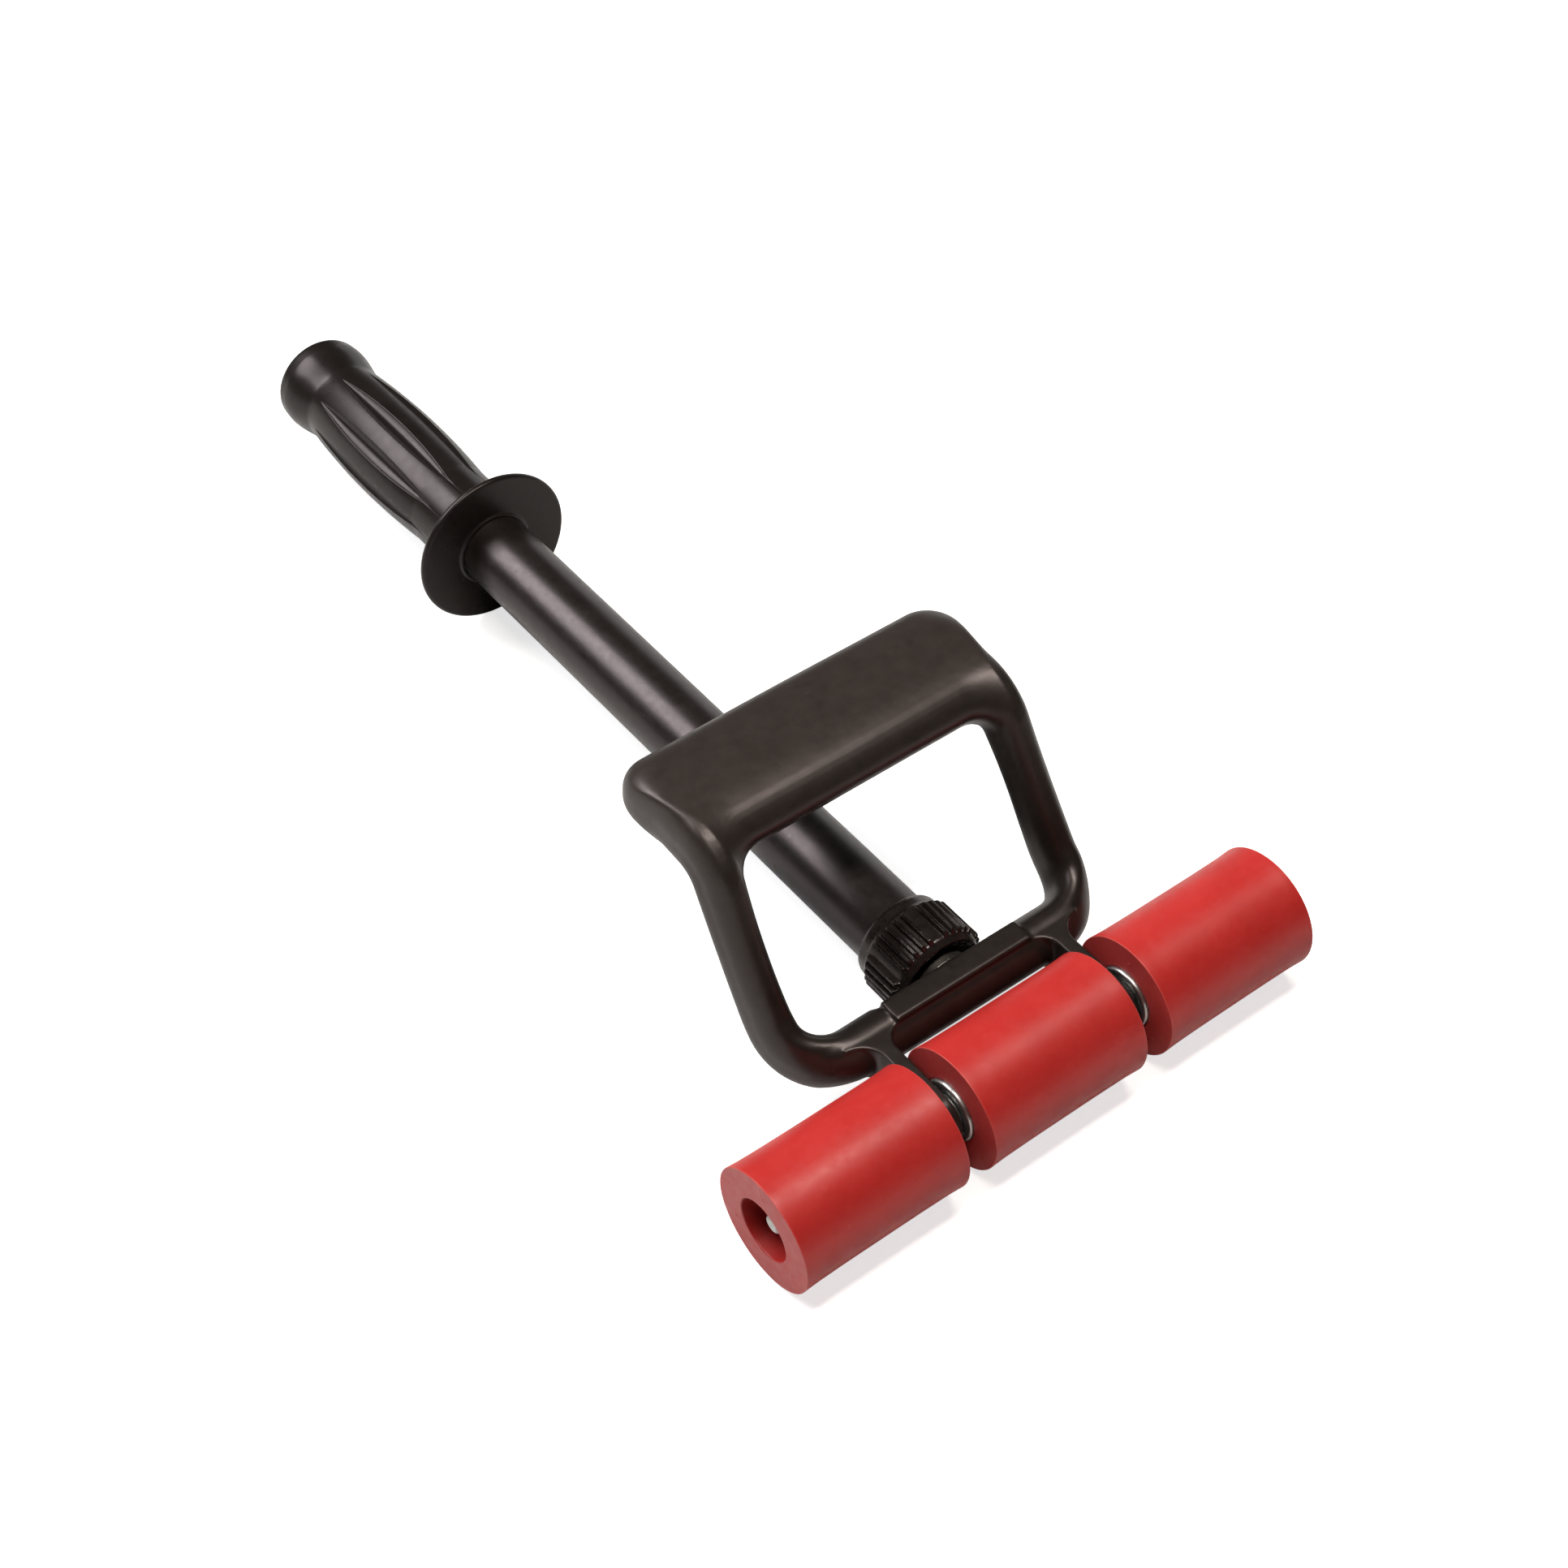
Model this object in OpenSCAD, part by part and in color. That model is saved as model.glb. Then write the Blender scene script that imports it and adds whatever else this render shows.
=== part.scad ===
// Hand-held pressure roller with a telescoping handle.
// Three soft rollers turn on one axle, held by the two fork arms of a D-handle casting.
// A tube slides out of the casting's inner tube, locks with a twist collar and ends in a flanged grip.
// Origin: centre of the roller axle. +X runs along the rollers, +Y along the tube to the grip,
// +Z up to the palm bar. Millimetres.

/* [Rollers] */
// Radius of a roller at its middle
roller_r = 19.5; // [18:0.25:20]
// Length of one roller
roller_l = 57; // [54:1:60]
// Gap between neighbouring rollers, filled by a fork arm
roller_gap = 9.5; // [9.5:0.5:12]
// Radius of the bore through each roller
roller_bore_r = 10; // [9:0.25:11]
// How much wider a roller is at its rims than at its middle
rim_flare = 0.4; // [0:0.1:0.5]

/* [Axle and bearings] */
// Radius of the axle
axle_r = 3.175; // [3:0.025:3.5]
// How far the axle's ends sit inside the outer roller faces
axle_inset = 3; // [2:0.5:5]
// Length of a pressed-in bearing
bearing_l = 9; // [7:0.5:10]
// How far a bearing stands out towards its fork arm
bearing_proud = 1.2; // [0.6:0.1:1.3]
// How deep the outermost bearings sit inside their rollers
bearing_recess = 14; // [12:1:18]

/* [Casting] */
// Thickness of a fork arm along the axle
arm_t = 5; // [4.5:0.25:5]
// Half height of the fork arms and their webs
arm_h = 8.7; // [8:0.1:9]
// Radius of the round crossbar
bar_r = 8.3; // [8:0.1:9]
// Distance from the axle to the crossbar's centre
bar_y = 32; // [31:0.25:33]
// Height of the crossbar's centre above the axle
bar_z = 1; // [0.5:0.25:1.5]
// Half width of the flat-topped block in the middle of the crossbar
block_w = 25.3; // [24:0.1:26]
// Half width of the D-handle over its side bars
loop_w = 59.8; // [59:0.1:60]
// Half width of the palm bar
palm_w = 59.5; // [59:0.25:62]
// Half width of the D-handle's window
window_w = 48.2; // [47.5:0.1:49]
// Depth of the palm bar, front to back
palm_d = 43.5; // [41:0.5:44]
// Thickness of the palm bar
palm_t = 18.4; // [17:0.2:20]
// Height of the palm bar's middle plane
palm_z = 55; // [53:0.5:57]
// Distance from the axle to the palm bar's rear edge
palm_y = 119; // [117:0.5:120]
// Slope of the side bars
rise_angle = 59; // [56:0.5:60]

/* [Tubes] */
// Outer radius of the sliding tube
tube_r = 12.7; // [12.7:0.1:12.8]
// Wall of the sliding tube
tube_wall = 1.25; // [1:0.05:1.4]
// Outer radius of the fixed inner tube
inner_r = 9.525; // [9.5:0.025:9.6]
// Wall of the fixed inner tube
inner_wall = 1.6; // [1.4:0.1:1.8]
// How far the sliding tube pulls out before only the overlap is left inside it
tube_travel = 254; // [200:1:254]
// Overlap of the two tubes when fully pulled out
tube_overlap = 46.7; // [40:0.1:60]

/* [Twist lock] */
// Radius over the collar's ribs
collar_r = 17; // [16.8:0.1:17.2]
// Front face of the collar
collar_y = 38.4; // [38.2:0.1:38.8]
// Length of the collar
collar_l = 21.2; // [21:0.1:21.4]
// Pitch of the lock thread
lock_pitch = 1.5; // [1.2:0.1:1.5]
// Ribs in one group on the collar
group_ribs = 5; // [4:1:5]
// Groups of ribs around the collar
rib_groups = 6; // [5:1:6]

/* [Grip] */
// Radius of the grip's flange
flange_r = 28.5; // [26:0.5:29]
// Distance from the axle to the flange's front face
flange_y = 279.3; // [278:0.1:282]
// Length from the flange's front face to the grip's end
grip_l = 119.7; // [118:0.1:122]
// Largest radius of the barrel
barrel_r = 17.6; // [17:0.1:18]
// Radius of the neck between barrel and pommel
neck_r = 15.4; // [15:0.1:15.6]
// Radius of the grip in front of the barrel, next to the flange
root_r = 16; // [15:0.1:16.2]

/* [Hidden] */

$fn = 64;
cut = 1;
slip = 0.05;
face_gap = 0.1;

// Fork arms sit in the middle of the gaps between rollers
arm_x = roller_l / 2 + roller_gap / 2;
roller_pitch = roller_l + roller_gap;
end_x = roller_l * 1.5 + roller_gap;
block_back_y = bar_y + 4.3;
block_front_y = bar_y - 4.2;
// Front end of the sliding tube, inside the collar
tube_y0 = collar_y + 17.2;

black_cast = "#2b2724";
black_tube = "#1d1b1c";
black_grip = "#161515";
roller_red = "#d83a35";
bright_steel = "#c9cbcd";

// ---- Shared shapes ----

// A ring about the X axis, from x0 to x1
module ring_x(x0, x1, r_out, r_in) {
    translate([x0, 0, 0])
        rotate([0, 90, 0])
            difference() {
                cylinder(h = x1 - x0, r = r_out);
                translate([0, 0, -cut]) cylinder(h = x1 - x0 + 2 * cut, r = r_in);
            }
}

// Turns a profile of [radius, distance along the tube] about the Y axis
module turn_y(profile) {
    rotate([-90, 0, 0])
        mirror([0, 1, 0])
            rotate_extrude() polygon(profile);
}

// A rod about the Y axis, from y0 to y1
module rod_y(y0, y1, r) {
    translate([0, y0, 0]) rotate([-90, 0, 0]) cylinder(h = y1 - y0, r = r);
}

module tube_y(y0, y1, r_out, r_in) {
    difference() {
        rod_y(y0, y1, r_out);
        rod_y(y0 - cut, y1 + cut, r_in);
    }
}

// Points of a quarter round from angle a0 to a1 about a centre
function arc(cx, cy, r, a0, a1, steps = 8) =
    [for (i = [0 : steps]) let (a = a0 + (a1 - a0) * i / steps) [cx + r * cos(a), cy + r * sin(a)]];

// ---- D-handle loop ----
// The loop is a flat D in [x, s], bent over a side profile of level, rising and level stretches.

low_bend_r = 23;
high_bend_r = 14;
low_run = low_bend_r * tan(rise_angle / 2);
high_run = high_bend_r * tan(rise_angle / 2);
rise_base_y = bar_y + 13.1;
rise_top_y = rise_base_y + (palm_z - bar_z) / tan(rise_angle);
slope_l = (palm_z - bar_z) / sin(rise_angle) - low_run - high_run;
s_low = rise_base_y - low_run - bar_y;
s_rise = s_low + low_bend_r * rise_angle * PI / 180;
s_high = s_rise + slope_l;
s_level = s_high + high_bend_r * rise_angle * PI / 180;
s_end = s_level + palm_y - (rise_top_y + high_run);

// Side profile at s: [y, z, slope angle]
function bend(s) =
    s < s_low ? [bar_y + s, bar_z, 0]
    : s < s_rise
        ? let (a = (s - s_low) / low_bend_r * 180 / PI)
            [bar_y + s_low + low_bend_r * sin(a), bar_z + low_bend_r * (1 - cos(a)), a]
    : s < s_high
        ? let (d = low_run + s - s_rise)
            [rise_base_y + d * cos(rise_angle), bar_z + d * sin(rise_angle), rise_angle]
    : s < s_level
        ? let (a = rise_angle - (s - s_high) / high_bend_r * 180 / PI)
            [rise_top_y + high_run - high_bend_r * sin(a), palm_z - high_bend_r * (1 - cos(a)), a]
    : [rise_top_y + high_run + s - s_level, palm_z, 0];

// Rounded D outline at stretch k (0 crossbar, 1 low corner, 2 side, 3 high corner, 4 palm), part t,
// of half width w0 at the bottom and w1 at the top, between s0 and s1, with corner radii r0 and r1,
// and drawn in by waist near the top of its sides
function outline(k, t, w0, w1, s0, s1, r0, r1, waist) =
    k == 0 ? [t * (w0 - r0), s0]
    : k == 1 ? [w0 - r0 + r0 * sin(90 * t), s0 + r0 * (1 - cos(90 * t))]
    : k == 2 ? [w0 + pow(t, 5) * (w1 - w0) - waist * bump(t, 0.85), s0 + r0 + t * (s1 - r1 - s0 - r0)]
    : k == 3 ? [w1 - r1 + r1 * cos(90 * t), s1 - r1 + r1 * sin(90 * t)]
    : [(1 - t) * (w1 - r1), s1];

window_low_r = 9.5;
window_high_r = 9;
window_taper = 0.8;
loop_waist = 1.3;
loop_low_r = 26;
loop_high_r = 10;
side_t = 15;
round_n = 2;
side_n = 2.6;
palm_n = 3;

function smooth(t) = t * t * (3 - 2 * t);
function blend(a, b, t) = a + (b - a) * smooth(t);
// Rises from 0 at t = 0 to 1 at t = peak and falls back to 0 at t = 1
function bump(t, peak) = t < peak ? smooth(t / peak) : smooth((1 - t) / (1 - peak));
// Thickness along the loop: round crossbar, thinner side bars, slab palm bar
function loop_t(k, t) =
    k < 1 ? 2 * bar_r
    : k < 2 ? blend(2 * bar_r, palm_t, t)
    : k < 3 ? palm_t - (palm_t - side_t) * sin(180 * t)
    : palm_t;
// Exponent of the section's rounded rectangle: 2 is an ellipse
function squareness(k, t) =
    k < 1 ? round_n : k < 2 ? blend(round_n, side_n, t) : k < 3 ? blend(side_n, palm_n, t) : palm_n;
// How much wider the section is below its middle than above, on the window's side and outside
function draft_in(k, t) =
    k < 1 ? 0 : k < 2 ? blend(0, 1.2, t) : k < 3 ? blend(1.2, 6.4, t) + bump(t, 0.4)
    : k < 4 ? blend(6.4, 3.6, t) : blend(3.6, 3, t);
function draft_out(k, t) =
    k < 1 ? 0 : k < 2 ? blend(0, 2.2, t) : k < 3 ? blend(2.2, 2.4, t) + 4.2 * bump(t, 0.65)
    : k < 4 ? 2.4 : blend(2.4, 1.6, t);

corner_steps = 8;
section_steps = 24;
stretch_steps = [4, corner_steps, 8, corner_steps, 5];
// Stations from the crossbar's middle to the palm bar's middle on one side: [stretch, part]
half_loop = [for (k = [0 : 4]) for (i = [0 : stretch_steps[k] - 1]) [k, i / stretch_steps[k]]];
last_station = [4, 1];
stations = concat(
    [for (q = half_loop) [q[0], q[1], 1]],
    [[last_station[0], last_station[1], 1]],
    [for (i = [len(half_loop) - 1 : -1 : 1]) [half_loop[i][0], half_loop[i][1], -1]]
);

function power(v, n) = sign(v) * pow(abs(v), 2 / n);

// One ring of points around the loop's section at a station
function section(q) =
    let (
        k = q[0],
        t = q[1],
        inner = outline(k, t, window_w, window_w - window_taper, bar_r, s_end - palm_d,
            window_low_r, window_high_r, 0),
        outer = outline(k, t, loop_w, palm_w, -bar_r, s_end, loop_low_r, loop_high_r, loop_waist),
        half_w = norm(outer - inner) / 2,
        n = squareness(k, t),
        half_t = loop_t(k, t) / 2
    )
    [for (i = [0 : section_steps - 1])
        let (
            a = 360 * (i + 0.5) / section_steps,
            lean = cos(a) < 0 ? draft_in(k, t) : draft_out(k, t),
            across = 0.5 + 0.5 * power(cos(a), n) * (1 - lean / half_w * sin(a)),
            x = inner[0] + (outer[0] - inner[0]) * across,
            s = inner[1] + (outer[1] - inner[1]) * across,
            h = half_t * power(sin(a), n),
            b = bend(s)
        )
        [q[2] * x, b[0] - h * sin(b[2]), b[1] + h * cos(b[2])]];

module d_loop() {
    rings = [for (q = stations) section(q)];
    count = len(rings);
    points = [for (ring = rings) each ring];
    faces = [for (i = [0 : count - 1]) for (j = [0 : section_steps - 1])
        let (
            i2 = (i + 1) % count,
            j2 = (j + 1) % section_steps,
            p00 = i * section_steps + j,
            p01 = i * section_steps + j2,
            p10 = i2 * section_steps + j,
            p11 = i2 * section_steps + j2
        )
        each [[p00, p01, p10], [p01, p11, p10]]];
    polyhedron(points, faces);
}

// ---- Casting ----

web_in_r = 6;
web_out_r = 8;
web_low = 5;
block_low = 7.2;
ledge_z = -1.8;
ledge_d = 0.5;
spigot_l = 30;
spigot_r = inner_r - inner_wall - slip;
pin_r = 2;
pin_y = block_back_y + 16;

// Fills the inside corner at the origin, between +X and +Y, with a concave round
module corner_fill(r) {
    difference() {
        square(r);
        translate([r, r]) circle(r = r);
    }
}

// Plan of one fork arm with the webs that join it to the crossbar
module arm_plan() {
    translate([arm_x - arm_t / 2, 0]) square([arm_t, bar_y]);
    translate([arm_x - arm_t / 2, block_front_y]) mirror([1, 0]) mirror([0, 1]) corner_fill(web_in_r);
    translate([arm_x + arm_t / 2, bar_y - 3.5]) mirror([0, 1]) corner_fill(web_out_r);
}

module fork_arm() {
    translate([0, 0, -web_low]) linear_extrude(arm_h + web_low) arm_plan();
    translate([arm_x - arm_t / 2, 0, 0]) rotate([0, 90, 0]) cylinder(h = arm_t, r = arm_h);
}

module crossbar_block() {
    // The block's top falls slightly towards the rollers
    rotate([90, 0, 90])
        linear_extrude(2 * block_w, center = true)
            polygon([
                [block_front_y, arm_h + 0.3],
                [block_back_y - 0.8, arm_h + 2.2],
                [block_back_y, arm_h + 1.4],
                [block_back_y, -block_low],
                [block_front_y - ledge_d, -block_low],
                [block_front_y - ledge_d, ledge_z],
                [block_front_y, ledge_z],
            ]);
}

module handle_casting() {
    color(black_cast)
        difference() {
            union() {
                difference() {
                    d_loop();
                    translate([-block_w, block_back_y, -2 * bar_r]) cube([2 * block_w, bar_r, 4 * bar_r]);
                }
                crossbar_block();
                fork_arm();
                mirror([1, 0, 0]) fork_arm();
                rod_y(bar_y, block_back_y + spigot_l, spigot_r);
            }
            // Axle bore through both arms
            translate([-end_x, 0, 0]) rotate([0, 90, 0]) cylinder(h = 2 * end_x, r = axle_r + slip);
            // Pin hole through the spigot
            translate([0, pin_y, -inner_r]) cylinder(h = 2 * inner_r, r = pin_r);
        }
}

// ---- Fixed tube, pin and guide ----

guide_l = 14;
guide_head = 3;
guide_rim = 3;
guide_wall = 2;
inner_y0 = block_back_y;
inner_y1 = tube_y0 + tube_travel + tube_overlap - guide_head - guide_rim;

module inner_tube() {
    color("dimgray")
        difference() {
            tube_y(inner_y0, inner_y1, inner_r, inner_r - inner_wall);
            translate([0, pin_y, -2 * inner_r]) cylinder(h = 4 * inner_r, r = pin_r);
        }
}

// Pin that holds the inner tube on the casting's spigot, trimmed flush with the tube
module tube_pin() {
    pin_l = inner_r - 0.35;
    color(bright_steel)
        translate([0, pin_y, -pin_l]) cylinder(h = 2 * pin_l, r = pin_r);
}

// Nylon glide at the top of the inner tube
module tube_guide() {
    bore_r = tube_r - tube_wall;
    color("ivory")
        difference() {
            union() {
                rod_y(inner_y1 - guide_l, inner_y1 + guide_head, inner_r - inner_wall - slip / 2);
                rod_y(inner_y1, inner_y1 + guide_head + guide_rim, bore_r - slip);
            }
            rod_y(inner_y1 - guide_l - cut, inner_y1 + guide_head + guide_rim + cut,
                inner_r - inner_wall - guide_wall);
        }
}

// ---- Axle set ----

axle_end_x = end_x - axle_inset;
washer_r = 6.5;
outer_bearing_x = end_x - bearing_recess;
retainer_t = 1;
dish_r = 2.1;
dish_d = 0.6;

module axle() {
    color(bright_steel)
        rotate([90, 0, 90])
            translate([0, 0, -axle_end_x])
                rotate_extrude()
                    polygon([
                        [0, dish_d],
                        [dish_r, 0.15],
                        [axle_r - 0.7, 0],
                        [axle_r, 0.7],
                        [axle_r, 2 * axle_end_x - 0.7],
                        [axle_r - 0.7, 2 * axle_end_x],
                        [dish_r, 2 * axle_end_x - 0.15],
                        [0, 2 * axle_end_x - dish_d],
                    ]);
}

// Thin washers on both sides of each fork arm
module thrust_washers() {
    washer_t = (roller_gap - arm_t) / 2 - bearing_proud - 2 * face_gap;
    color(bright_steel)
        for (side = [-1, 1]) {
            ring_x(side * arm_x + arm_t / 2 + face_gap, side * arm_x + arm_t / 2 + face_gap + washer_t,
                washer_r, axle_r + slip);
            ring_x(side * arm_x - arm_t / 2 - face_gap - washer_t, side * arm_x - arm_t / 2 - face_gap,
                washer_r, axle_r + slip);
        }
}

// Push-on rings that stop the outer rollers from sliding off
module axle_retainers() {
    color("dimgray") {
        ring_x(outer_bearing_x + face_gap, outer_bearing_x + face_gap + retainer_t, 6, axle_r);
        ring_x(-outer_bearing_x - face_gap - retainer_t, -outer_bearing_x - face_gap, 6, axle_r);
    }
}

// ---- Rollers ----

rim_l = 5;
rim_round = 0.35;

// Roller body about the X axis, centred at x
module roller_at(x) {
    half = roller_l / 2;
    rim_r = roller_r + rim_flare;
    color(roller_red)
        translate([x, 0, 0])
            rotate([90, 0, 90])
                rotate_extrude($fn = 96)
                    polygon(concat(
                        [[roller_bore_r, -half], [rim_r - rim_round, -half], [rim_r, -half + rim_round]],
                        [[roller_r + 0.1, -half + rim_l], [roller_r, -half + 3 * rim_l]],
                        [[roller_r, half - 3 * rim_l], [roller_r + 0.1, half - rim_l]],
                        [[rim_r, half - rim_round], [rim_r - rim_round, half], [roller_bore_r, half]]
                    ));
}

// Steel bearing from x0, its rounded edge on the side that faces (+1 or -1)
module bearing_at(x0, facing) {
    round_r = 1.1;
    translate([x0, 0, 0])
        rotate([90, 0, 90])
            mirror([0, 0, facing < 0 ? 1 : 0])
                rotate_extrude()
                    polygon(concat(
                        [[axle_r + slip, 0], [roller_bore_r, 0]],
                        arc(roller_bore_r - round_r, bearing_l - round_r, round_r, 0, 90),
                        [[axle_r + slip, bearing_l]]
                    ));
}

inner_bearing = bearing_l - bearing_proud;

// Bearings of an outer roller: one proud by the fork arm, one deep inside the open end
module side_bearings() {
    near_x = end_x - roller_l;
    color(bright_steel) {
        bearing_at(near_x + inner_bearing, -1);
        bearing_at(outer_bearing_x - bearing_l, 1);
    }
}

module middle_bearings() {
    half = roller_l / 2;
    color(bright_steel) {
        bearing_at(-half + inner_bearing, -1);
        bearing_at(half - inner_bearing, 1);
    }
}

module spacer(x0, x1) {
    color("silver") ring_x(x0 + face_gap, x1 - face_gap, axle_r + 1.5, axle_r + 2 * slip);
}

module left_roller() { roller_at(-roller_pitch); }
module middle_roller() { roller_at(0); }
module right_roller() { roller_at(roller_pitch); }
module left_roller_bearings() { mirror([1, 0, 0]) side_bearings(); }
module middle_roller_bearings() { middle_bearings(); }
module right_roller_bearings() { side_bearings(); }
module side_spacer() { spacer(end_x - roller_l + inner_bearing, outer_bearing_x - bearing_l); }
module left_roller_spacer() { mirror([1, 0, 0]) side_spacer(); }
module middle_roller_spacer() { spacer(-roller_l / 2 + inner_bearing, roller_l / 2 - inner_bearing); }
module right_roller_spacer() { side_spacer(); }

// ---- Twist lock ----

rib_h = 1.5;
rib_w = 1.5;
// Smooth band between two groups of ribs, in rib spacings
band_w = 1;
rib_base_r = collar_r - rib_h;
collar_back_y = collar_y + collar_l;
thread_r = 13.6;
thread_d = 0.7;
thread_turns = 6;
seat_y = collar_y + 1.2;
seat_r = 11.8;
mouth_r = 13.3;
bush_y = collar_y + 6.4;
bush_l = 36.8;
cone_gap = 0.12;

// Radius of the collar's conical seat at y, from its front to the thread bore
function seat_cone_r(y) = seat_r + (thread_r + slip - seat_r) * (y - seat_y) / (bush_y - seat_y);

// Threaded bush fixed in the front end of the sliding tube
module lock_bush() {
    root = thread_r - thread_d;
    color("#262423")
        difference() {
            union() {
                rod_y(bush_y, tube_y0, root);
                rod_y(bush_y, bush_y + bush_l, tube_r - tube_wall);
                for (i = [0 : thread_turns - 1])
                    translate([0, bush_y + (i + 0.6) * lock_pitch, 0])
                        turn_y([[root - 1, 0], [root, 0], [thread_r, 0.4], [thread_r, 0.7],
                            [root, 1.1], [root - 1, 1.1]]);
            }
            rod_y(bush_y - cut, bush_y + bush_l + cut, inner_r + slip);
        }
}

// Split nylon ring that grips the inner tube
module lock_collet() {
    front_y = seat_y + 2 * face_gap;
    back_y = bush_y - face_gap;
    land_y = back_y - 0.4;
    color("#2a2827")
        difference() {
            turn_y([
                [inner_r + slip, front_y],
                [seat_cone_r(front_y) - cone_gap, front_y],
                [seat_cone_r(land_y) - cone_gap, land_y],
                [seat_cone_r(land_y) - cone_gap, back_y],
                [inner_r + slip, back_y],
            ]);
            translate([-1, front_y - cut, 0]) cube([2, back_y - front_y + 2 * cut, 2 * thread_r]);
        }
}

module collar_ribs() {
    group_angle = 360 / rib_groups;
    rib_angle = group_angle / (group_ribs + band_w);
    intersection() {
        turn_y([
            [rib_base_r - 1.2, collar_y + 1.4],
            [collar_r - 2.4, collar_y + 1],
            [collar_r - 0.2, collar_y + 2.5],
            [collar_r, collar_y + 3],
            [collar_r - 0.1, collar_y + 14.8],
            [collar_r - 0.8, collar_y + 16.4],
            [rib_base_r - 1, collar_y + 17.2],
        ]);
        for (g = [0 : rib_groups - 1])
            for (i = [0 : group_ribs - 1])
                rotate([0, g * group_angle + (i + 1) * rib_angle, 0])
                    translate([-rib_w / 2, collar_y, rib_base_r - 1.2])
                        cube([rib_w, collar_l, 4]);
    }
}

module lock_collar() {
    shoulder_y = tube_y0 + 1.2;
    color("#1f1c1b")
        union() {
            turn_y([
                [mouth_r, collar_y],
                [mouth_r + 0.7, collar_y],
                [rib_base_r - 0.7, collar_y + 0.8],
                [rib_base_r, collar_y + 2],
                [rib_base_r, collar_y + 16.2],
                [rib_base_r - 0.7, collar_y + 18.2],
                [tube_r + 1.2, collar_back_y - 0.3],
                [tube_r + 1, collar_back_y],
                [tube_r + 3 * slip, collar_back_y],
                [tube_r + 3 * slip, shoulder_y],
                [thread_r + slip, shoulder_y],
                [thread_r + slip, bush_y],
                [seat_r, seat_y],
            ]);
            collar_ribs();
        }
}

// ---- Sliding tube and grip ----

grip_end_y = flange_y + grip_l;
tube_end_y = grip_end_y - 7;

module outer_tube() {
    color(black_tube) tube_y(tube_y0, tube_end_y, tube_r, tube_r - tube_wall);
}

// Plug that closes the tube's top end, under the grip
module tube_plug() {
    color("#3a3a3a") {
        rod_y(tube_end_y - 10, tube_end_y, tube_r - tube_wall - slip / 2);
    }
}

flange_t = 3;
// The flange's face sits back from its mouth ring
mouth_y = flange_y - 0.9;
face_y = flange_y + 0.3;
mouth_w = 2;
fillet_l = 10;
barrel_y = flange_y + 24;
barrel_l = 76;
barrel_steps = 20;
end_round = 6;
pommel_l = 13;

module grip() {
    edge_r = flange_t / 2;
    color(black_grip)
        difference() {
            turn_y(concat(
                [[0, mouth_y], [tube_r + mouth_w / 2, mouth_y], [tube_r + mouth_w, face_y]],
                [[flange_r - edge_r, face_y]],
                arc(flange_r - edge_r, face_y + edge_r, edge_r, -60, 60),
                [[flange_r - edge_r, face_y + flange_t]],
                [for (i = [0 : 3])
                    let (u = i / 3)
                    [root_r + 3 * pow(1 - u, 3), face_y + flange_t + (fillet_l - flange_t) * u]],
                [[root_r, flange_y + 2 * fillet_l]],
                [for (i = [0 : barrel_steps])
                    let (u = i / barrel_steps)
                    [neck_r + (barrel_r - neck_r) * pow(sin(180 * u), 0.8), barrel_y + barrel_l * u]],
                [[barrel_r - 0.8, grip_end_y - pommel_l], [barrel_r, grip_end_y - pommel_l + 5]],
                arc(barrel_r - end_round, grip_end_y - end_round, end_round, 20, 90),
                [[0, grip_end_y]]
            ));
            rod_y(mouth_y - cut, tube_end_y + slip, tube_r);
        }
}

handle_casting();
inner_tube();
tube_pin();
tube_guide();
axle();
thrust_washers();
axle_retainers();
left_roller();
left_roller_bearings();
left_roller_spacer();
middle_roller();
middle_roller_bearings();
middle_roller_spacer();
right_roller();
right_roller_bearings();
right_roller_spacer();
outer_tube();
lock_bush();
grip();
tube_plug();
lock_collet();
lock_collar();
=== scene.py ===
"""Looks of a hand-held pressure roller with a telescoping handle.

Three red rollers turn on one axle between the fork arms of a black D-handle casting. A black tube slides
out of the casting's inner tube, locks with a ribbed twist collar and ends in a flanged, fluted grip.
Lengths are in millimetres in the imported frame; only make_object() turns them into metres.
"""

import math

import bmesh
import bpy
from mathutils import Matrix, Quaternion, Vector


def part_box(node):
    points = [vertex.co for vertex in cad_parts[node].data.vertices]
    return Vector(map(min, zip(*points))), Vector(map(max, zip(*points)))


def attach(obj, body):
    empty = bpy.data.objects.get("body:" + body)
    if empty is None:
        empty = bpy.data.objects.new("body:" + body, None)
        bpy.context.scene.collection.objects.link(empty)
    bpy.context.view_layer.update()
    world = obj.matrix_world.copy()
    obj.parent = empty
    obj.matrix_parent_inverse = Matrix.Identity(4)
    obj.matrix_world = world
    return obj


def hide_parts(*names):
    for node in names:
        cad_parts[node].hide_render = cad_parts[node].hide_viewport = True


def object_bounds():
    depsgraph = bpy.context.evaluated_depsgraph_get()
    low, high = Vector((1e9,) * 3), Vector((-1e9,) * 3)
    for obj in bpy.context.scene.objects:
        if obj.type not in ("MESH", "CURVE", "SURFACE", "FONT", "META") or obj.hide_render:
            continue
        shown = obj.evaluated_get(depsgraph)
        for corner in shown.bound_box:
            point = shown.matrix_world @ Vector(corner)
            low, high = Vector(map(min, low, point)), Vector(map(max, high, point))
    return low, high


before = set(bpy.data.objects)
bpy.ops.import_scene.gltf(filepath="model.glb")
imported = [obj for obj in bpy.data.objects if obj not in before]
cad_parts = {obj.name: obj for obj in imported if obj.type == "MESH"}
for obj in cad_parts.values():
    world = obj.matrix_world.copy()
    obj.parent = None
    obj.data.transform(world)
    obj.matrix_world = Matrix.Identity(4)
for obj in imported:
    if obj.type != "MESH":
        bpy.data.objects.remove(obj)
cad_low, cad_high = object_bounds()

MM = 0.001


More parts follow.
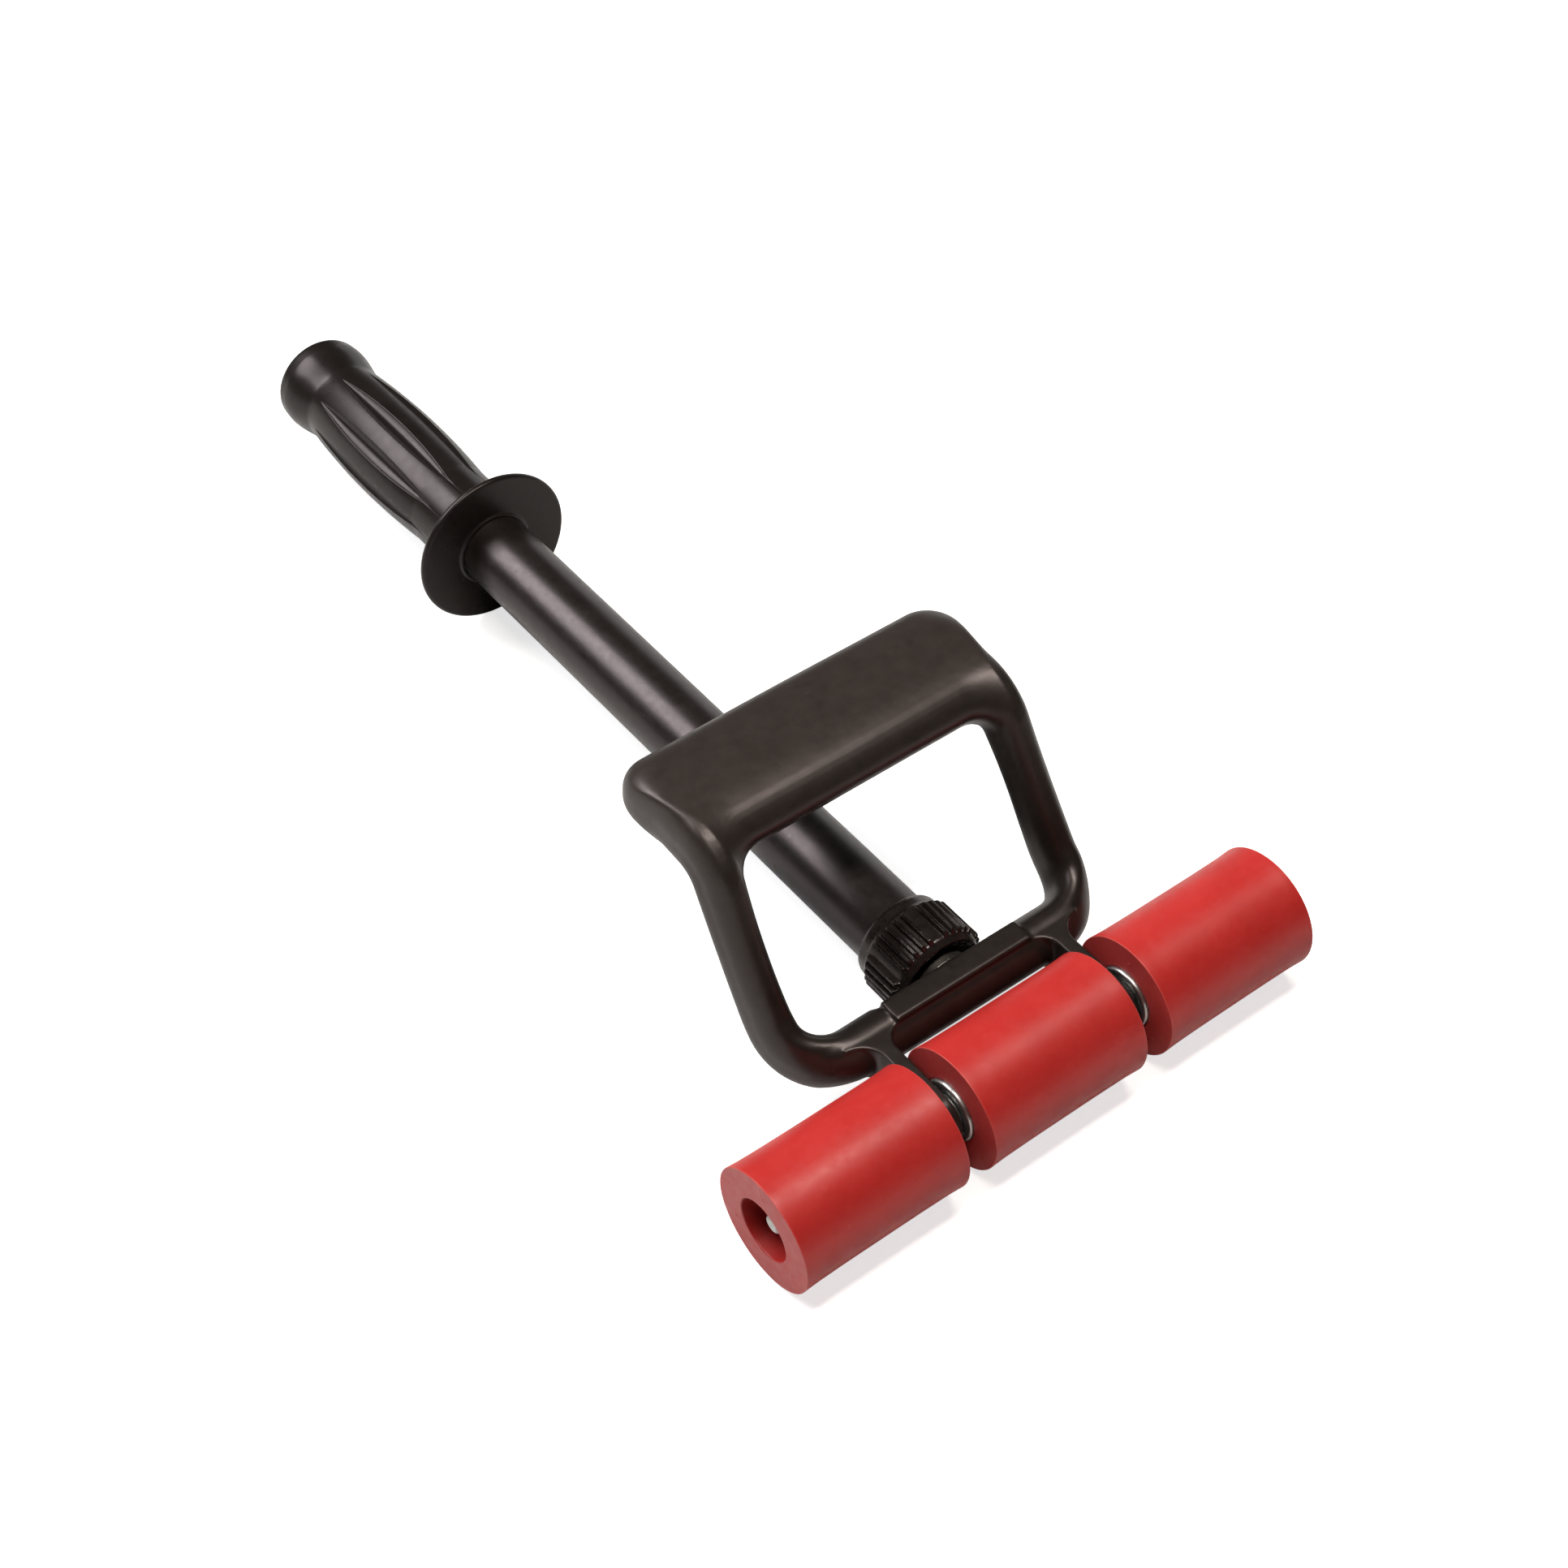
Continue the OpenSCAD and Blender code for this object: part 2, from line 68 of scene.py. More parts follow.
def cad_box(node):
    """Lowest and highest corner of a CAD node, in millimetres."""
    low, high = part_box(node)
    return low / MM, high / MM


# ---- Sizes read from the frame ----

ROLLER_LOW, ROLLER_HIGH = cad_box("middle_roller")
LEFT_LOW = cad_box("left_roller")[0]
AXLE_HIGH = cad_box("axle")[1]
CASTING_HIGH = cad_box("handle_casting")[1]
INNER_LOW, INNER_HIGH = cad_box("inner_tube")
TUBE_LOW, TUBE_HIGH = cad_box("outer_tube")
COLLAR_LOW, COLLAR_HIGH = cad_box("lock_collar")
GRIP_LOW, GRIP_HIGH = cad_box("grip")

RIM_R = ROLLER_HIGH.z
ROLLER_L = ROLLER_HIGH.x - ROLLER_LOW.x
PITCH = ROLLER_LOW.x - LEFT_LOW.x
AXLE_R = AXLE_HIGH.z
TUBE_R = TUBE_HIGH.x
INNER_R = INNER_HIGH.x
COLLAR_R = COLLAR_HIGH.x
FLANGE_R = GRIP_HIGH.x

# ---- Sizes of the details ----

ROLLER_FLARE = 0.4
BORE_R = 10.0
FIT = 0.05
AXLE_INSET = 3.0
BEARING_L = 9.0
BEARING_PROUD = 1.2
BEARING_RECESS = 14.0

ARM_T = 5.0
ARM_H = 8.7
BAR_R = 8.3
BAR_Y = 32.0
BAR_Z = 1.0
BLOCK_W = 25.3
LOOP_W = 59.8
PALM_W = 59.5
WINDOW_W = 48.2
PALM_D = 43.5
PALM_T = 18.4
PALM_Z = 55.0
PALM_Y = CASTING_HIGH.y
RISE_ANGLE = math.radians(59)
CASTING_VOXEL = 0.45

TUBE_WALL = 1.25
INNER_WALL = 1.6


# ---- Mesh helpers ----


def smooth(t):
    """Goes from 0 at t = 0 to 1 at t = 1, level at both ends."""
    return t * t * (3 - 2 * t)


def ease(a, b, t):
    """Goes from a at t = 0 to b at t = 1, level at both ends."""
    return a + (b - a) * smooth(min(1.0, max(0.0, t)))


def bump(t, peak):
    """Rises from 0 at t = 0 to 1 at t = peak and falls back to 0 at t = 1."""
    return smooth(t / peak) if t < peak else smooth((1 - t) / (1 - peak))


def make_object(name, points, faces):
    """A new object from points in millimetres; its faces are turned outwards."""
    mesh = bpy.data.meshes.new(name)
    mesh.from_pydata([[c * MM for c in p] for p in points], [], faces)
    b = bmesh.new()
    b.from_mesh(mesh)
    bmesh.ops.remove_doubles(b, verts=b.verts, dist=1e-7)
    bmesh.ops.recalc_face_normals(b, faces=b.faces)
    b.to_mesh(mesh)
    b.free()
    mesh.shade_smooth()
    obj = bpy.data.objects.new(name, mesh)
    bpy.context.scene.collection.objects.link(obj)
    return obj


def rounded(corners, steps=5):
    """A closed outline from [u, v, cut] corners; a curve that starts cut before a corner rounds it off."""
    points = []
    count = len(corners)
    for i, (u, v, cut) in enumerate(corners):
        here = Vector((u, v))
        if cut == 0:
            points.append(here)
            continue
        before = Vector(corners[i - 1][:2]) - here
        after = Vector(corners[(i + 1) % count][:2]) - here
        start = here + before.normalized() * min(cut, before.length * 0.48)
        end = here + after.normalized() * min(cut, after.length * 0.48)
        for k in range(steps + 1):
            t = k / steps
            points.append(start * (1 - t) ** 2 + here * 2 * t * (1 - t) + end * t * t)
    return points


def turned(name, profile, axis, steps, relief=None, radial=False):
    """A closed [radius, distance] profile turned about the X or Y axis.

    relief(index, angle) may lift a profile point, straight out if radial and else along the profile's
    outward normal, at an angle from +Z that runs towards -Y about the X axis and +X about the Y axis.
    """
    count = len(profile)
    area = sum(
        profile[i - 1][0] * profile[i][1] - profile[i][0] * profile[i - 1][1] for i in range(count)
    )
    side = 1 if area > 0 else -1
    normals = []
    for i in range(count):
        along = Vector(profile[(i + 1) % count]) - Vector(profile[i - 1])
        normals.append(Vector((along.y, -along.x)).normalized() * side)
    points = []
    for j in range(steps):
        angle = 2 * math.pi * j / steps
        for i in range(count):
            r, d = profile[i]
            if relief and r > 0:
                lift = relief(i, angle)
                r += lift if radial else normals[i].x * lift
                d += 0.0 if radial else normals[i].y * lift
            sine, cosine = r * math.sin(angle), r * math.cos(angle)
            points.append((d, -sine, cosine) if axis == "X" else (sine, d, cosine))
    faces = []
    for j in range(steps):
        k = (j + 1) % steps
        for i in range(count):
            n = (i + 1) % count
            if profile[i][0] == 0 and profile[n][0] == 0:
                continue
            faces.append((j * count + i, j * count + n, k * count + n, k * count + i))
    obj = make_object(name, points, faces)
    if not relief:
        obj.modifiers.new("Even shading", "WEIGHTED_NORMAL")
    return obj


def extruded(name, corners, low, high, place):
    """A closed outline of corners pushed from low to high; place(u, v, w) gives the point in the frame."""
    count = len(corners)
    points = [place(u, v, low) for u, v in corners] + [place(u, v, high) for u, v in corners]
    faces = [tuple(range(count)), tuple(range(2 * count - 1, count - 1, -1))]
    for i in range(count):
        n = (i + 1) % count
        faces.append((i, n, count + n, count + i))
    return make_object(name, points, faces)


def apply_modifiers(obj):
    """Makes the object's mesh what its modifiers show."""
    evaluated = obj.evaluated_get(bpy.context.evaluated_depsgraph_get())
    mesh = bpy.data.meshes.new_from_object(evaluated)
    obj.modifiers.clear()
    old, obj.data = obj.data, mesh
    bpy.data.meshes.remove(old)


def joined(name, parts):
    """One object that holds the meshes of several."""
    bpy.ops.object.select_all(action="DESELECT")
    for part in parts:
        part.select_set(True)
    bpy.context.view_layer.objects.active = parts[0]
    bpy.ops.object.join()
    parts[0].name = name
    return parts[0]


def place_piece(obj, body, slot, material, *nodes):
    """Paints a piece, ties it to its body and hides the CAD nodes that it stands for; slot is not used."""
    obj.data.materials.clear()
    obj.data.materials.append(material)
    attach(obj, body)
    if nodes:
        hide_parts(*nodes)
    return obj


# ---- Materials ----

WARM_GLOSS = (1.0, 0.86, 0.85, 1.0)
BLACK = (0.0, 0.0, 0.0)
RUB_AND_SHADE_MARGIN = 8.0
# Share of painted shade that darkens the casting towards the crossbar.
CROSSBAR_PAINTED_SHADE = 0.4
FLOOR_GLOW = 0.72


class Finish:
    """One procedural material. Its methods add nodes and give back their output sockets."""

    def __init__(self, name, **inputs):
        self.material = bpy.data.materials.new(name)
        self.material.use_nodes = True
        self.tree = self.material.node_tree
        self.shader = self.tree.nodes["Principled BSDF"]
        self.object_place = self.node("ShaderNodeTexCoord").outputs["Object"]
        self.place = self.scaled(self.object_place, (1 / MM, 1 / MM, 1 / MM))
        self.normal = None
        for key, value in inputs.items():
            self.set(key, value)

    def link(self, node, name, value):
        """Feeds one input of a node from a socket or sets it to a value."""
        socket = node.inputs[name]
        if isinstance(value, bpy.types.NodeSocket):
            self.tree.links.new(value, socket)
        else:
            socket.default_value = value

    def node(self, kind, settings=None, **inputs):
        """Adds a node; an underscore in an input's name stands for a space."""
        made = self.tree.nodes.new(kind)
        for key, value in (settings or {}).items():
            setattr(made, key, value)
        for key, value in inputs.items():
            self.link(made, key.replace("_", " "), value)
        return made

    def set(self, key, value):
        """Sets one input of the shader, such as Roughness or Base_Color."""
        if key == "Base_Color" and not isinstance(value, bpy.types.NodeSocket):
            value = (*value, 1)
        self.link(self.shader, key.replace("_", " "), value)

    def scaled(self, vector, factors):
        """The vector with each coordinate multiplied by its factor."""
        made = self.node("ShaderNodeVectorMath", {"operation": "MULTIPLY"})
        self.link(made, 0, vector)
        self.link(made, 1, factors)
        return made.outputs[0]

    def noise(self, size, detail=3.0, stretch=(1, 1, 1), rough=0.55, place=None):
        """Noise from 0 to 1 whose blotches are about size millimetres across."""
        vector = self.scaled(place or self.place, [1 / (size * s) for s in stretch])
        made = self.node(
            "ShaderNodeTexNoise", Vector=vector, Scale=1.0, Detail=detail, Roughness=rough
        )
        return made.outputs["Fac"]

    def cells(self, size, stretch=(1, 1, 1)):
        """Distance to the nearest of points scattered about size millimetres apart."""
        vector = self.scaled(self.place, [1 / (size * s) for s in stretch])
        return self.node("ShaderNodeTexVoronoi", Vector=vector, Scale=1.0).outputs["Distance"]

    def span(self, value, low, high, to_low=0.0, to_high=1.0):
        """Maps low..high to to_low..to_high and holds the ends."""
        made = self.node(
            "ShaderNodeMapRange",
            Value=value,
            From_Min=low,
            From_Max=high,
            To_Min=to_low,
            To_Max=to_high,
        )
        return made.outputs["Result"]

    def math(self, operation, a, b=0.0):
        """One sum on two values or sockets."""
        made = self.node("ShaderNodeMath", {"operation": operation})
        self.link(made, 0, a)
        self.link(made, 1, b)
        return made.outputs[0]

    def mix(self, share, a, b):
        """Colour a where share is 0 and b where it is 1."""
        made = self.node("ShaderNodeMix", {"data_type": "RGBA"})
        colours = [s for s in made.inputs if s.type == "RGBA"]
        self.link(made, 0, share)
        for socket, value in zip(colours, (a, b)):
            if isinstance(value, bpy.types.NodeSocket):
                self.tree.links.new(value, socket)
            else:
                socket.default_value = (*value, 1)
        return next(s for s in made.outputs if s.type == "RGBA")

    def coat(self, mask, share, base, colour):
        """Lays a colour over base where mask is 1, and at most by share."""
        return self.mix(self.math("MULTIPLY", mask, share), base, colour)

    def axis(self, name):
        """One coordinate in millimetres."""
        return self.node("ShaderNodeSeparateXYZ", Vector=self.place).outputs[name]

    def distance_from_axis(self, a, b):
        """Distance in millimetres from the axis across coordinates a and b."""
        total = self.math("ADD", self.math("POWER", a, 2.0), self.math("POWER", b, 2.0))
        return self.math("SQRT", total)

    def edges(self, low=0.515, high=0.56):
        """1 on sharp outer edges, 0 on flat and hollow places."""
        return self.span(self.node("ShaderNodeNewGeometry").outputs["Pointiness"], low, high)

    def bump(self, height, depth):
        """Adds relief of depth millimetres to the surface."""
        made = self.node("ShaderNodeBump", Height=height, Strength=1.0, Distance=depth * MM)
        if self.normal:
            self.link(made, "Normal", self.normal)
        self.normal = made.outputs["Normal"]
        self.link(self.shader, "Normal", self.normal)


def casting_finish():
    """Satin black paint over cast metal: mottled and scuffed on its faces, paler in patches along sharp
    edges as wear and painted highlight, a little rougher on the hand-rubbed palm, and darker towards the
    crossbar as painted shade.
    """
    f = Finish("Black casting", Metallic=0.0, Specular_IOR_Level=0.46)
    # rubbed is 1 on the palm and 0 near the crossbar. It makes the palm a little rougher, and as painted
    # shade it darkens the colour towards the crossbar.
    rubbed = f.span(f.axis("Y"), BAR_Y + RUB_AND_SHADE_MARGIN, PALM_Y - PALM_D + RUB_AND_SHADE_MARGIN)
    mottle = f.noise(6, 5)
    grain = f.noise(0.7, 4)
    blotch = f.span(f.noise(9, 6, rough=0.7), 0.56, 0.66)
    streaks = f.span(f.noise(2.6, 6, (1.8, 0.7, 1), 0.75), 0.62, 0.72)
    scuff = f.math("MULTIPLY", streaks, f.span(f.noise(17), 0.45, 0.6))
    # Edge wear and painted highlight: sharp edges are made paler in patches.
    edge_wear_and_highlight = f.math("MULTIPLY", f.edges(0.515, 0.57), f.span(f.noise(3, 5), 0.4, 0.62))
    base = f.mix(f.span(mottle, 0.3, 0.7), (0.021, 0.0158, 0.0135), (0.026, 0.0205, 0.0175))
    base = f.coat(blotch, 0.35, base, (0.009, 0.007, 0.006))
    base = f.coat(scuff, 0.3, base, (0.07, 0.06, 0.054))
    base = f.coat(edge_wear_and_highlight, 0.3, base, (0.1, 0.084, 0.076))
    # Painted shade: the colour is darkened towards the crossbar.
    f.set("Base_Color", f.mix(rubbed, f.mix(CROSSBAR_PAINTED_SHADE, base, BLACK), base))
    f.set("Specular_Tint", WARM_GLOSS)
    satin = f.span(f.noise(3.5, 3), 0.3, 0.7, 0.31, 0.37)
    satin = f.math("ADD", satin, f.math("MULTIPLY", rubbed, 0.03))
    f.set("Roughness", f.math("ADD", satin, f.math("MULTIPLY", scuff, 0.12)))
    f.bump(f.noise(11, 2), 0.14)
    f.bump(grain, 0.008)
    f.bump(scuff, -0.008)
    return f.material


def tube_finish():
    """Black paint on a drawn tube: fine speckle, dust and a few rubbed patches."""
    f = Finish("Black tube paint", Metallic=0.0, Specular_IOR_Level=0.5)
    specks = f.span(f.cells(1.4), 0.1, 0.03)
    dust = f.math("MULTIPLY", specks, f.span(f.noise(14), 0.42, 0.62))
    rubbed = f.span(f.noise(7, 6, (0.6, 1.8, 0.6), 0.7), 0.58, 0.7)
    base = f.mix(f.span(f.noise(10, 4), 0.35, 0.65), (0.0075, 0.0058, 0.005), (0.0115, 0.009, 0.0082))
    base = f.coat(dust, 0.45, base, (0.2, 0.17, 0.165))
    base = f.coat(rubbed, 0.3, base, (0.004, 0.003, 0.0025))
    f.set("Base_Color", base)
    f.set("Specular_Tint", (1.0, 0.84, 0.87, 1.0))
    satin = f.span(f.noise(2.2, 6), 0.3, 0.7, 0.31, 0.39)
    f.set("Roughness", f.math("SUBTRACT", satin, f.math("MULTIPLY", rubbed, 0.06)))
    f.bump(f.noise(0.8, 4), 0.014)
    f.bump(f.noise(9, 2, (1, 3, 1)), 0.05)
    f.bump(specks, 0.01)
    return f.material


def collar_finish():
    """Glossy moulded plastic with a little dust in it."""
    f = Finish("Black collar plastic", Metallic=0.0, Specular_IOR_Level=0.5)
    dust = f.span(f.noise(1.2, 6), 0.6, 0.75)
    base = f.mix(f.span(f.noise(5, 4), 0.35, 0.65), (0.009, 0.0068, 0.006), (0.014, 0.011, 0.0098))
    base = f.coat(dust, 0.03, base, (0.1, 0.085, 0.08))
    f.set("Base_Color", base)
    f.set("Specular_Tint", WARM_GLOSS)
    f.set("Roughness", f.span(f.noise(2.5, 3), 0.3, 0.7, 0.25, 0.31))
    f.bump(f.noise(0.7, 2), 0.002)
    f.bump(f.noise(7, 2), 0.02)
    return f.material


def grip_finish():
    """Soft black vinyl, slightly dusty, with a fine moulded skin."""
    f = Finish("Black grip vinyl", Metallic=0.0, Specular_IOR_Level=0.26)
    specks = f.span(f.noise(1.1, 7, rough=0.75), 0.62, 0.74)
    lint = f.math("MULTIPLY", specks, f.span(f.noise(20), 0.45, 0.6))
    base = f.mix(f.span(f.noise(9, 5), 0.35, 0.65), (0.0095, 0.0077, 0.007), (0.0125, 0.0102, 0.0094))
    base = f.coat(lint, 0.015, base, (0.11, 0.095, 0.095))
    f.set("Base_Color", base)
    f.set("Specular_Tint", (1.0, 0.86, 0.88, 1.0))
    f.set("Roughness", f.span(f.noise(4, 2), 0.3, 0.7, 0.27, 0.33))
    f.bump(f.noise(0.5, 3), 0.002)
    f.bump(f.noise(8, 2), 0.035)
    return f.material


def roller_finish(name, centre_x):
    """Red rubber ground round: fine turning marks, paler and less red end faces, a painted highlight on
    the rims and painted shade on the bore wall.
    """
    f = Finish(name, Metallic=0.0, Specular_IOR_Level=0.42)
    x, y, z = f.axis("X"), f.axis("Y"), f.axis("Z")
    radius = f.distance_from_axis(y, z)
    from_centre = f.math("ABSOLUTE", f.math("SUBTRACT", x, centre_x))
    end_face = f.span(from_centre, ROLLER_L / 2 - 0.12, ROLLER_L / 2 - 0.04)
    # Painted highlight: a paler band on the rounded rims.
    rim = f.math(
        "MULTIPLY",
        f.span(from_centre, ROLLER_L / 2 - 0.45, ROLLER_L / 2 - 0.2),
        f.span(radius, RIM_R - 0.5, RIM_R - 0.2),
    )
    # Painted shade: the bore wall is darkened.
    inside = f.span(radius, BORE_R + 0.6, BORE_R + 0.1)
    marks = f.noise(0.5, 3, (1, 30, 30))
    base = f.mix(f.span(f.noise(14, 5), 0.35, 0.65), (0.43, 0.019, 0.0165), (0.47, 0.023, 0.02))
    base = f.coat(f.span(f.noise(2, 6), 0.64, 0.76), 0.15, base, (0.6, 0.11, 0.09))
    base = f.coat(end_face, 0.4, base, (0.36, 0.06, 0.058))
    base = f.coat(rim, 0.22, base, (0.65, 0.13, 0.11))
    base = f.coat(inside, 0.5, base, (0.2, 0.008, 0.007))
    f.set("Base_Color", base)
    f.set("Roughness", f.span(f.noise(3, 5), 0.3, 0.7, 0.36, 0.48))
    f.set("Subsurface_Weight", 0.06)
    f.set("Subsurface_Radius", (1.0, 0.2, 0.15))
    f.set("Subsurface_Scale", 0.8 * MM)
    f.bump(marks, 0.006)
    f.bump(f.noise(0.6, 3), 0.014)
    return f.material


def steel_finish(name, colour, rough, across):
    """Turned steel; across is the stretch of its turning marks along X, Y and Z."""
    f = Finish(name, Metallic=1.0)
    stain = f.span(f.noise(4, 4), 0.5, 0.75)
    dull = tuple(c * 0.6 for c in colour)
    f.set("Base_Color", f.coat(stain, 0.4, colour, dull))
    f.set("Roughness", f.span(f.noise(2.5, 3), 0.3, 0.7, rough - 0.03, rough + 0.06))
    f.bump(f.noise(0.5, 2, across), 0.001)
    return f.material


def inner_steel_finish():
    """Dark steel tube under a film of grease that has picked up dirt."""
    f = Finish("Greased steel", Metallic=0.85)
    smear = f.span(f.noise(8, 6, (0.5, 2.5, 0.5), 0.65), 0.4, 0.62)
    grit = f.span(f.cells(1.1), 0.14, 0.05)
    base = f.mix(smear, (0.2, 0.185, 0.17), (0.08, 0.07, 0.062))
    base = f.coat(grit, 0.6, base, (0.5, 0.47, 0.43))
    f.set("Base_Color", base)
    f.set("Roughness", f.math("ADD", f.math("MULTIPLY", smear, 0.14), 0.24))
    f.bump(f.noise(0.3, 3, (1, 25, 1)), 0.006)
    f.bump(smear, 0.03)
    f.bump(grit, 0.02)
    return f.material


def nylon_finish():
    """Waxy white nylon, a little yellowed."""
    f = Finish("Nylon", Metallic=0.0)
    f.set("Base_Color", f.mix(f.span(f.noise(4, 5), 0.35, 0.65), (0.62, 0.58, 0.5), (0.74, 0.72, 0.66)))
    f.set("Roughness", f.span(f.noise(2, 4), 0.3, 0.7, 0.35, 0.5))
    f.set("Subsurface_Weight", 0.2)
    f.set("Subsurface_Scale", 1.5 * MM)
    f.bump(f.noise(0.4, 3), 0.008)
    return f.material


def floor_finish():
    """Plain pale sweep with a faint grain. It glows to the camera only, so its shadows stay faint."""
    f = Finish("Pale floor", Metallic=0.0, Roughness=0.7)
    f.set("Base_Color", f.mix(f.noise(60, 3), (0.66, 0.66, 0.66), (0.69, 0.69, 0.69)))
    f.set("Emission_Color", (1, 1, 1, 1))
    seen = f.node("ShaderNodeLightPath").outputs["Is Camera Ray"]
    f.set("Emission_Strength", f.math("MULTIPLY", seen, FLOOR_GLOW))
    f.bump(f.noise(2, 3), 0.02)
    return f.material


# ---- Casting ----

LOW_BEND_R = 23.0
HIGH_BEND_R = 14.0
LOW_RUN = LOW_BEND_R * math.tan(RISE_ANGLE / 2)
HIGH_RUN = HIGH_BEND_R * math.tan(RISE_ANGLE / 2)
RISE_BASE_Y = BAR_Y + 13.1
RISE_TOP_Y = RISE_BASE_Y + (PALM_Z - BAR_Z) / math.tan(RISE_ANGLE)
SLOPE_L = (PALM_Z - BAR_Z) / math.sin(RISE_ANGLE) - LOW_RUN - HIGH_RUN
S_LOW = RISE_BASE_Y - LOW_RUN - BAR_Y
S_RISE = S_LOW + LOW_BEND_R * RISE_ANGLE
S_HIGH = S_RISE + SLOPE_L
S_LEVEL = S_HIGH + HIGH_BEND_R * RISE_ANGLE
S_END = S_LEVEL + PALM_Y - (RISE_TOP_Y + HIGH_RUN)

WINDOW_LOW_R = 9.5
WINDOW_HIGH_R = 9.0
WINDOW_TAPER = 0.8
LOOP_LOW_R = 26.0
LOOP_HIGH_R = 10.0
LOOP_WAIST = 1.3
SIDE_T = 15.0
ROUND_N = 2.0
SIDE_N = 2.6
PALM_N = 3.0
DRAFTS_IN = (0.0, 1.2, 6.4, 3.6, 3.0)
DRAFTS_OUT = (0.0, 2.2, 2.4, 2.4, 1.6)
SIDE_DRAFT = 4.2
BAR, LOW_CORNER, SIDE, HIGH_CORNER, PALM = range(5)
SECTION_STEPS = 64
STRETCH_STEPS = (16, 24, 34, 24, 28)

BLOCK_FRONT_Y = BAR_Y - 4.2
BLOCK_BACK_Y = BAR_Y + 4.3
BLOCK_LOW = 7.2
BLOCK_HIGH = 10.3
LEDGE_Z = -1.8
LEDGE_D = 0.5
FLAT_TOP_Z = BAR_R + 5
FLAT_BACK_Y = BAR_Y + 2 * BAR_R
WEB_LOW = 5.0
WEB_IN_R = 6.0
WEB_OUT_R = 8.0
WEB_OUT_SET = 3.5
SPIGOT_L = 30.0
ARC_STEPS = 14
SOFTEN_PASSES = 8


def bend(s):
    """Side profile of the loop at length s, as y, z and slope: level, rising and level again."""
    if s < S_LOW:
        return BAR_Y + s, BAR_Z, 0.0
    if s < S_RISE:
        a = (s - S_LOW) / LOW_BEND_R
        return BAR_Y + S_LOW + LOW_BEND_R * math.sin(a), BAR_Z + LOW_BEND_R * (1 - math.cos(a)), a
    if s < S_HIGH:
        d = LOW_RUN + s - S_RISE
        return RISE_BASE_Y + d * math.cos(RISE_ANGLE), BAR_Z + d * math.sin(RISE_ANGLE), RISE_ANGLE
    if s < S_LEVEL:
        a = RISE_ANGLE - (s - S_HIGH) / HIGH_BEND_R
        y = RISE_TOP_Y + HIGH_RUN - HIGH_BEND_R * math.sin(a)
        return y, PALM_Z - HIGH_BEND_R * (1 - math.cos(a)), a
    return RISE_TOP_Y + HIGH_RUN + s - S_LEVEL, PALM_Z, 0.0


def outline(stretch, t, low_w, high_w, low_s, high_s, low_r, high_r, waist):
    """Point [x, s] at part t of one stretch of a rounded D; waist draws its sides in near their top."""
    turn = t * math.pi / 2
    if stretch == BAR:
        return t * (low_w - low_r), low_s
    if stretch == LOW_CORNER:
        return low_w - low_r + low_r * math.sin(turn), low_s + low_r * (1 - math.cos(turn))
    if stretch == SIDE:
        x = low_w + t**5 * (high_w - low_w) - waist * bump(t, 0.85)
        return x, low_s + low_r + t * (high_s - high_r - low_s - low_r)
    if stretch == HIGH_CORNER:
        return high_w - high_r + high_r * math.cos(turn), high_s - high_r + high_r * math.sin(turn)
    return (1 - t) * (high_w - high_r), high_s


def loop_section(stretch, t):
    """Thickness, squareness and the drafts on the window's side and outside at part t of a stretch.

    DRAFTS_IN and DRAFTS_OUT hold the drafts at the end of each stretch.
    """
    if stretch == BAR:
        return 2 * BAR_R, ROUND_N, 0.0, 0.0
    draft_in = ease(DRAFTS_IN[stretch - 1], DRAFTS_IN[stretch], t)
    draft_out = ease(DRAFTS_OUT[stretch - 1], DRAFTS_OUT[stretch], t)
    if stretch == LOW_CORNER:
        return ease(2 * BAR_R, PALM_T, t), ease(ROUND_N, SIDE_N, t), draft_in, draft_out
    if stretch == SIDE:
        thick = PALM_T - (PALM_T - SIDE_T) * math.sin(math.pi * t)
        draft_in += bump(t, 0.4)
        draft_out += SIDE_DRAFT * bump(t, 0.65)
        return thick, ease(SIDE_N, PALM_N, t), draft_in, draft_out
    return PALM_T, PALM_N, draft_in, draft_out


def power(v, n):
    """A sine or cosine v bent towards a square corner by n; 2 leaves it round."""
    return math.copysign(abs(v) ** (2 / n), v)


def loop_ring(stretch, t, side):
    """One ring of points round the loop's section."""
    top_w, top_s = WINDOW_W - WINDOW_TAPER, S_END - PALM_D
    inner = outline(stretch, t, WINDOW_W, top_w, BAR_R, top_s, WINDOW_LOW_R, WINDOW_HIGH_R, 0)
    outer = outline(stretch, t, LOOP_W, PALM_W, -BAR_R, S_END, LOOP_LOW_R, LOOP_HIGH_R, LOOP_WAIST)
    half_w = math.dist(inner, outer) / 2
    thick, n, draft_in, draft_out = loop_section(stretch, t)
    ring = []
    for i in range(SECTION_STEPS):
        a = 2 * math.pi * (i + 0.5) / SECTION_STEPS
        lean = draft_in if math.cos(a) < 0 else draft_out
        across = 0.5 + 0.5 * power(math.cos(a), n) * (1 - lean / half_w * math.sin(a))
        x = inner[0] + (outer[0] - inner[0]) * across
        s = inner[1] + (outer[1] - inner[1]) * across
        h = thick / 2 * power(math.sin(a), n)
        y, z, slope = bend(s)
        ring.append((side * x, y - h * math.sin(slope), z + h * math.cos(slope)))
    return ring


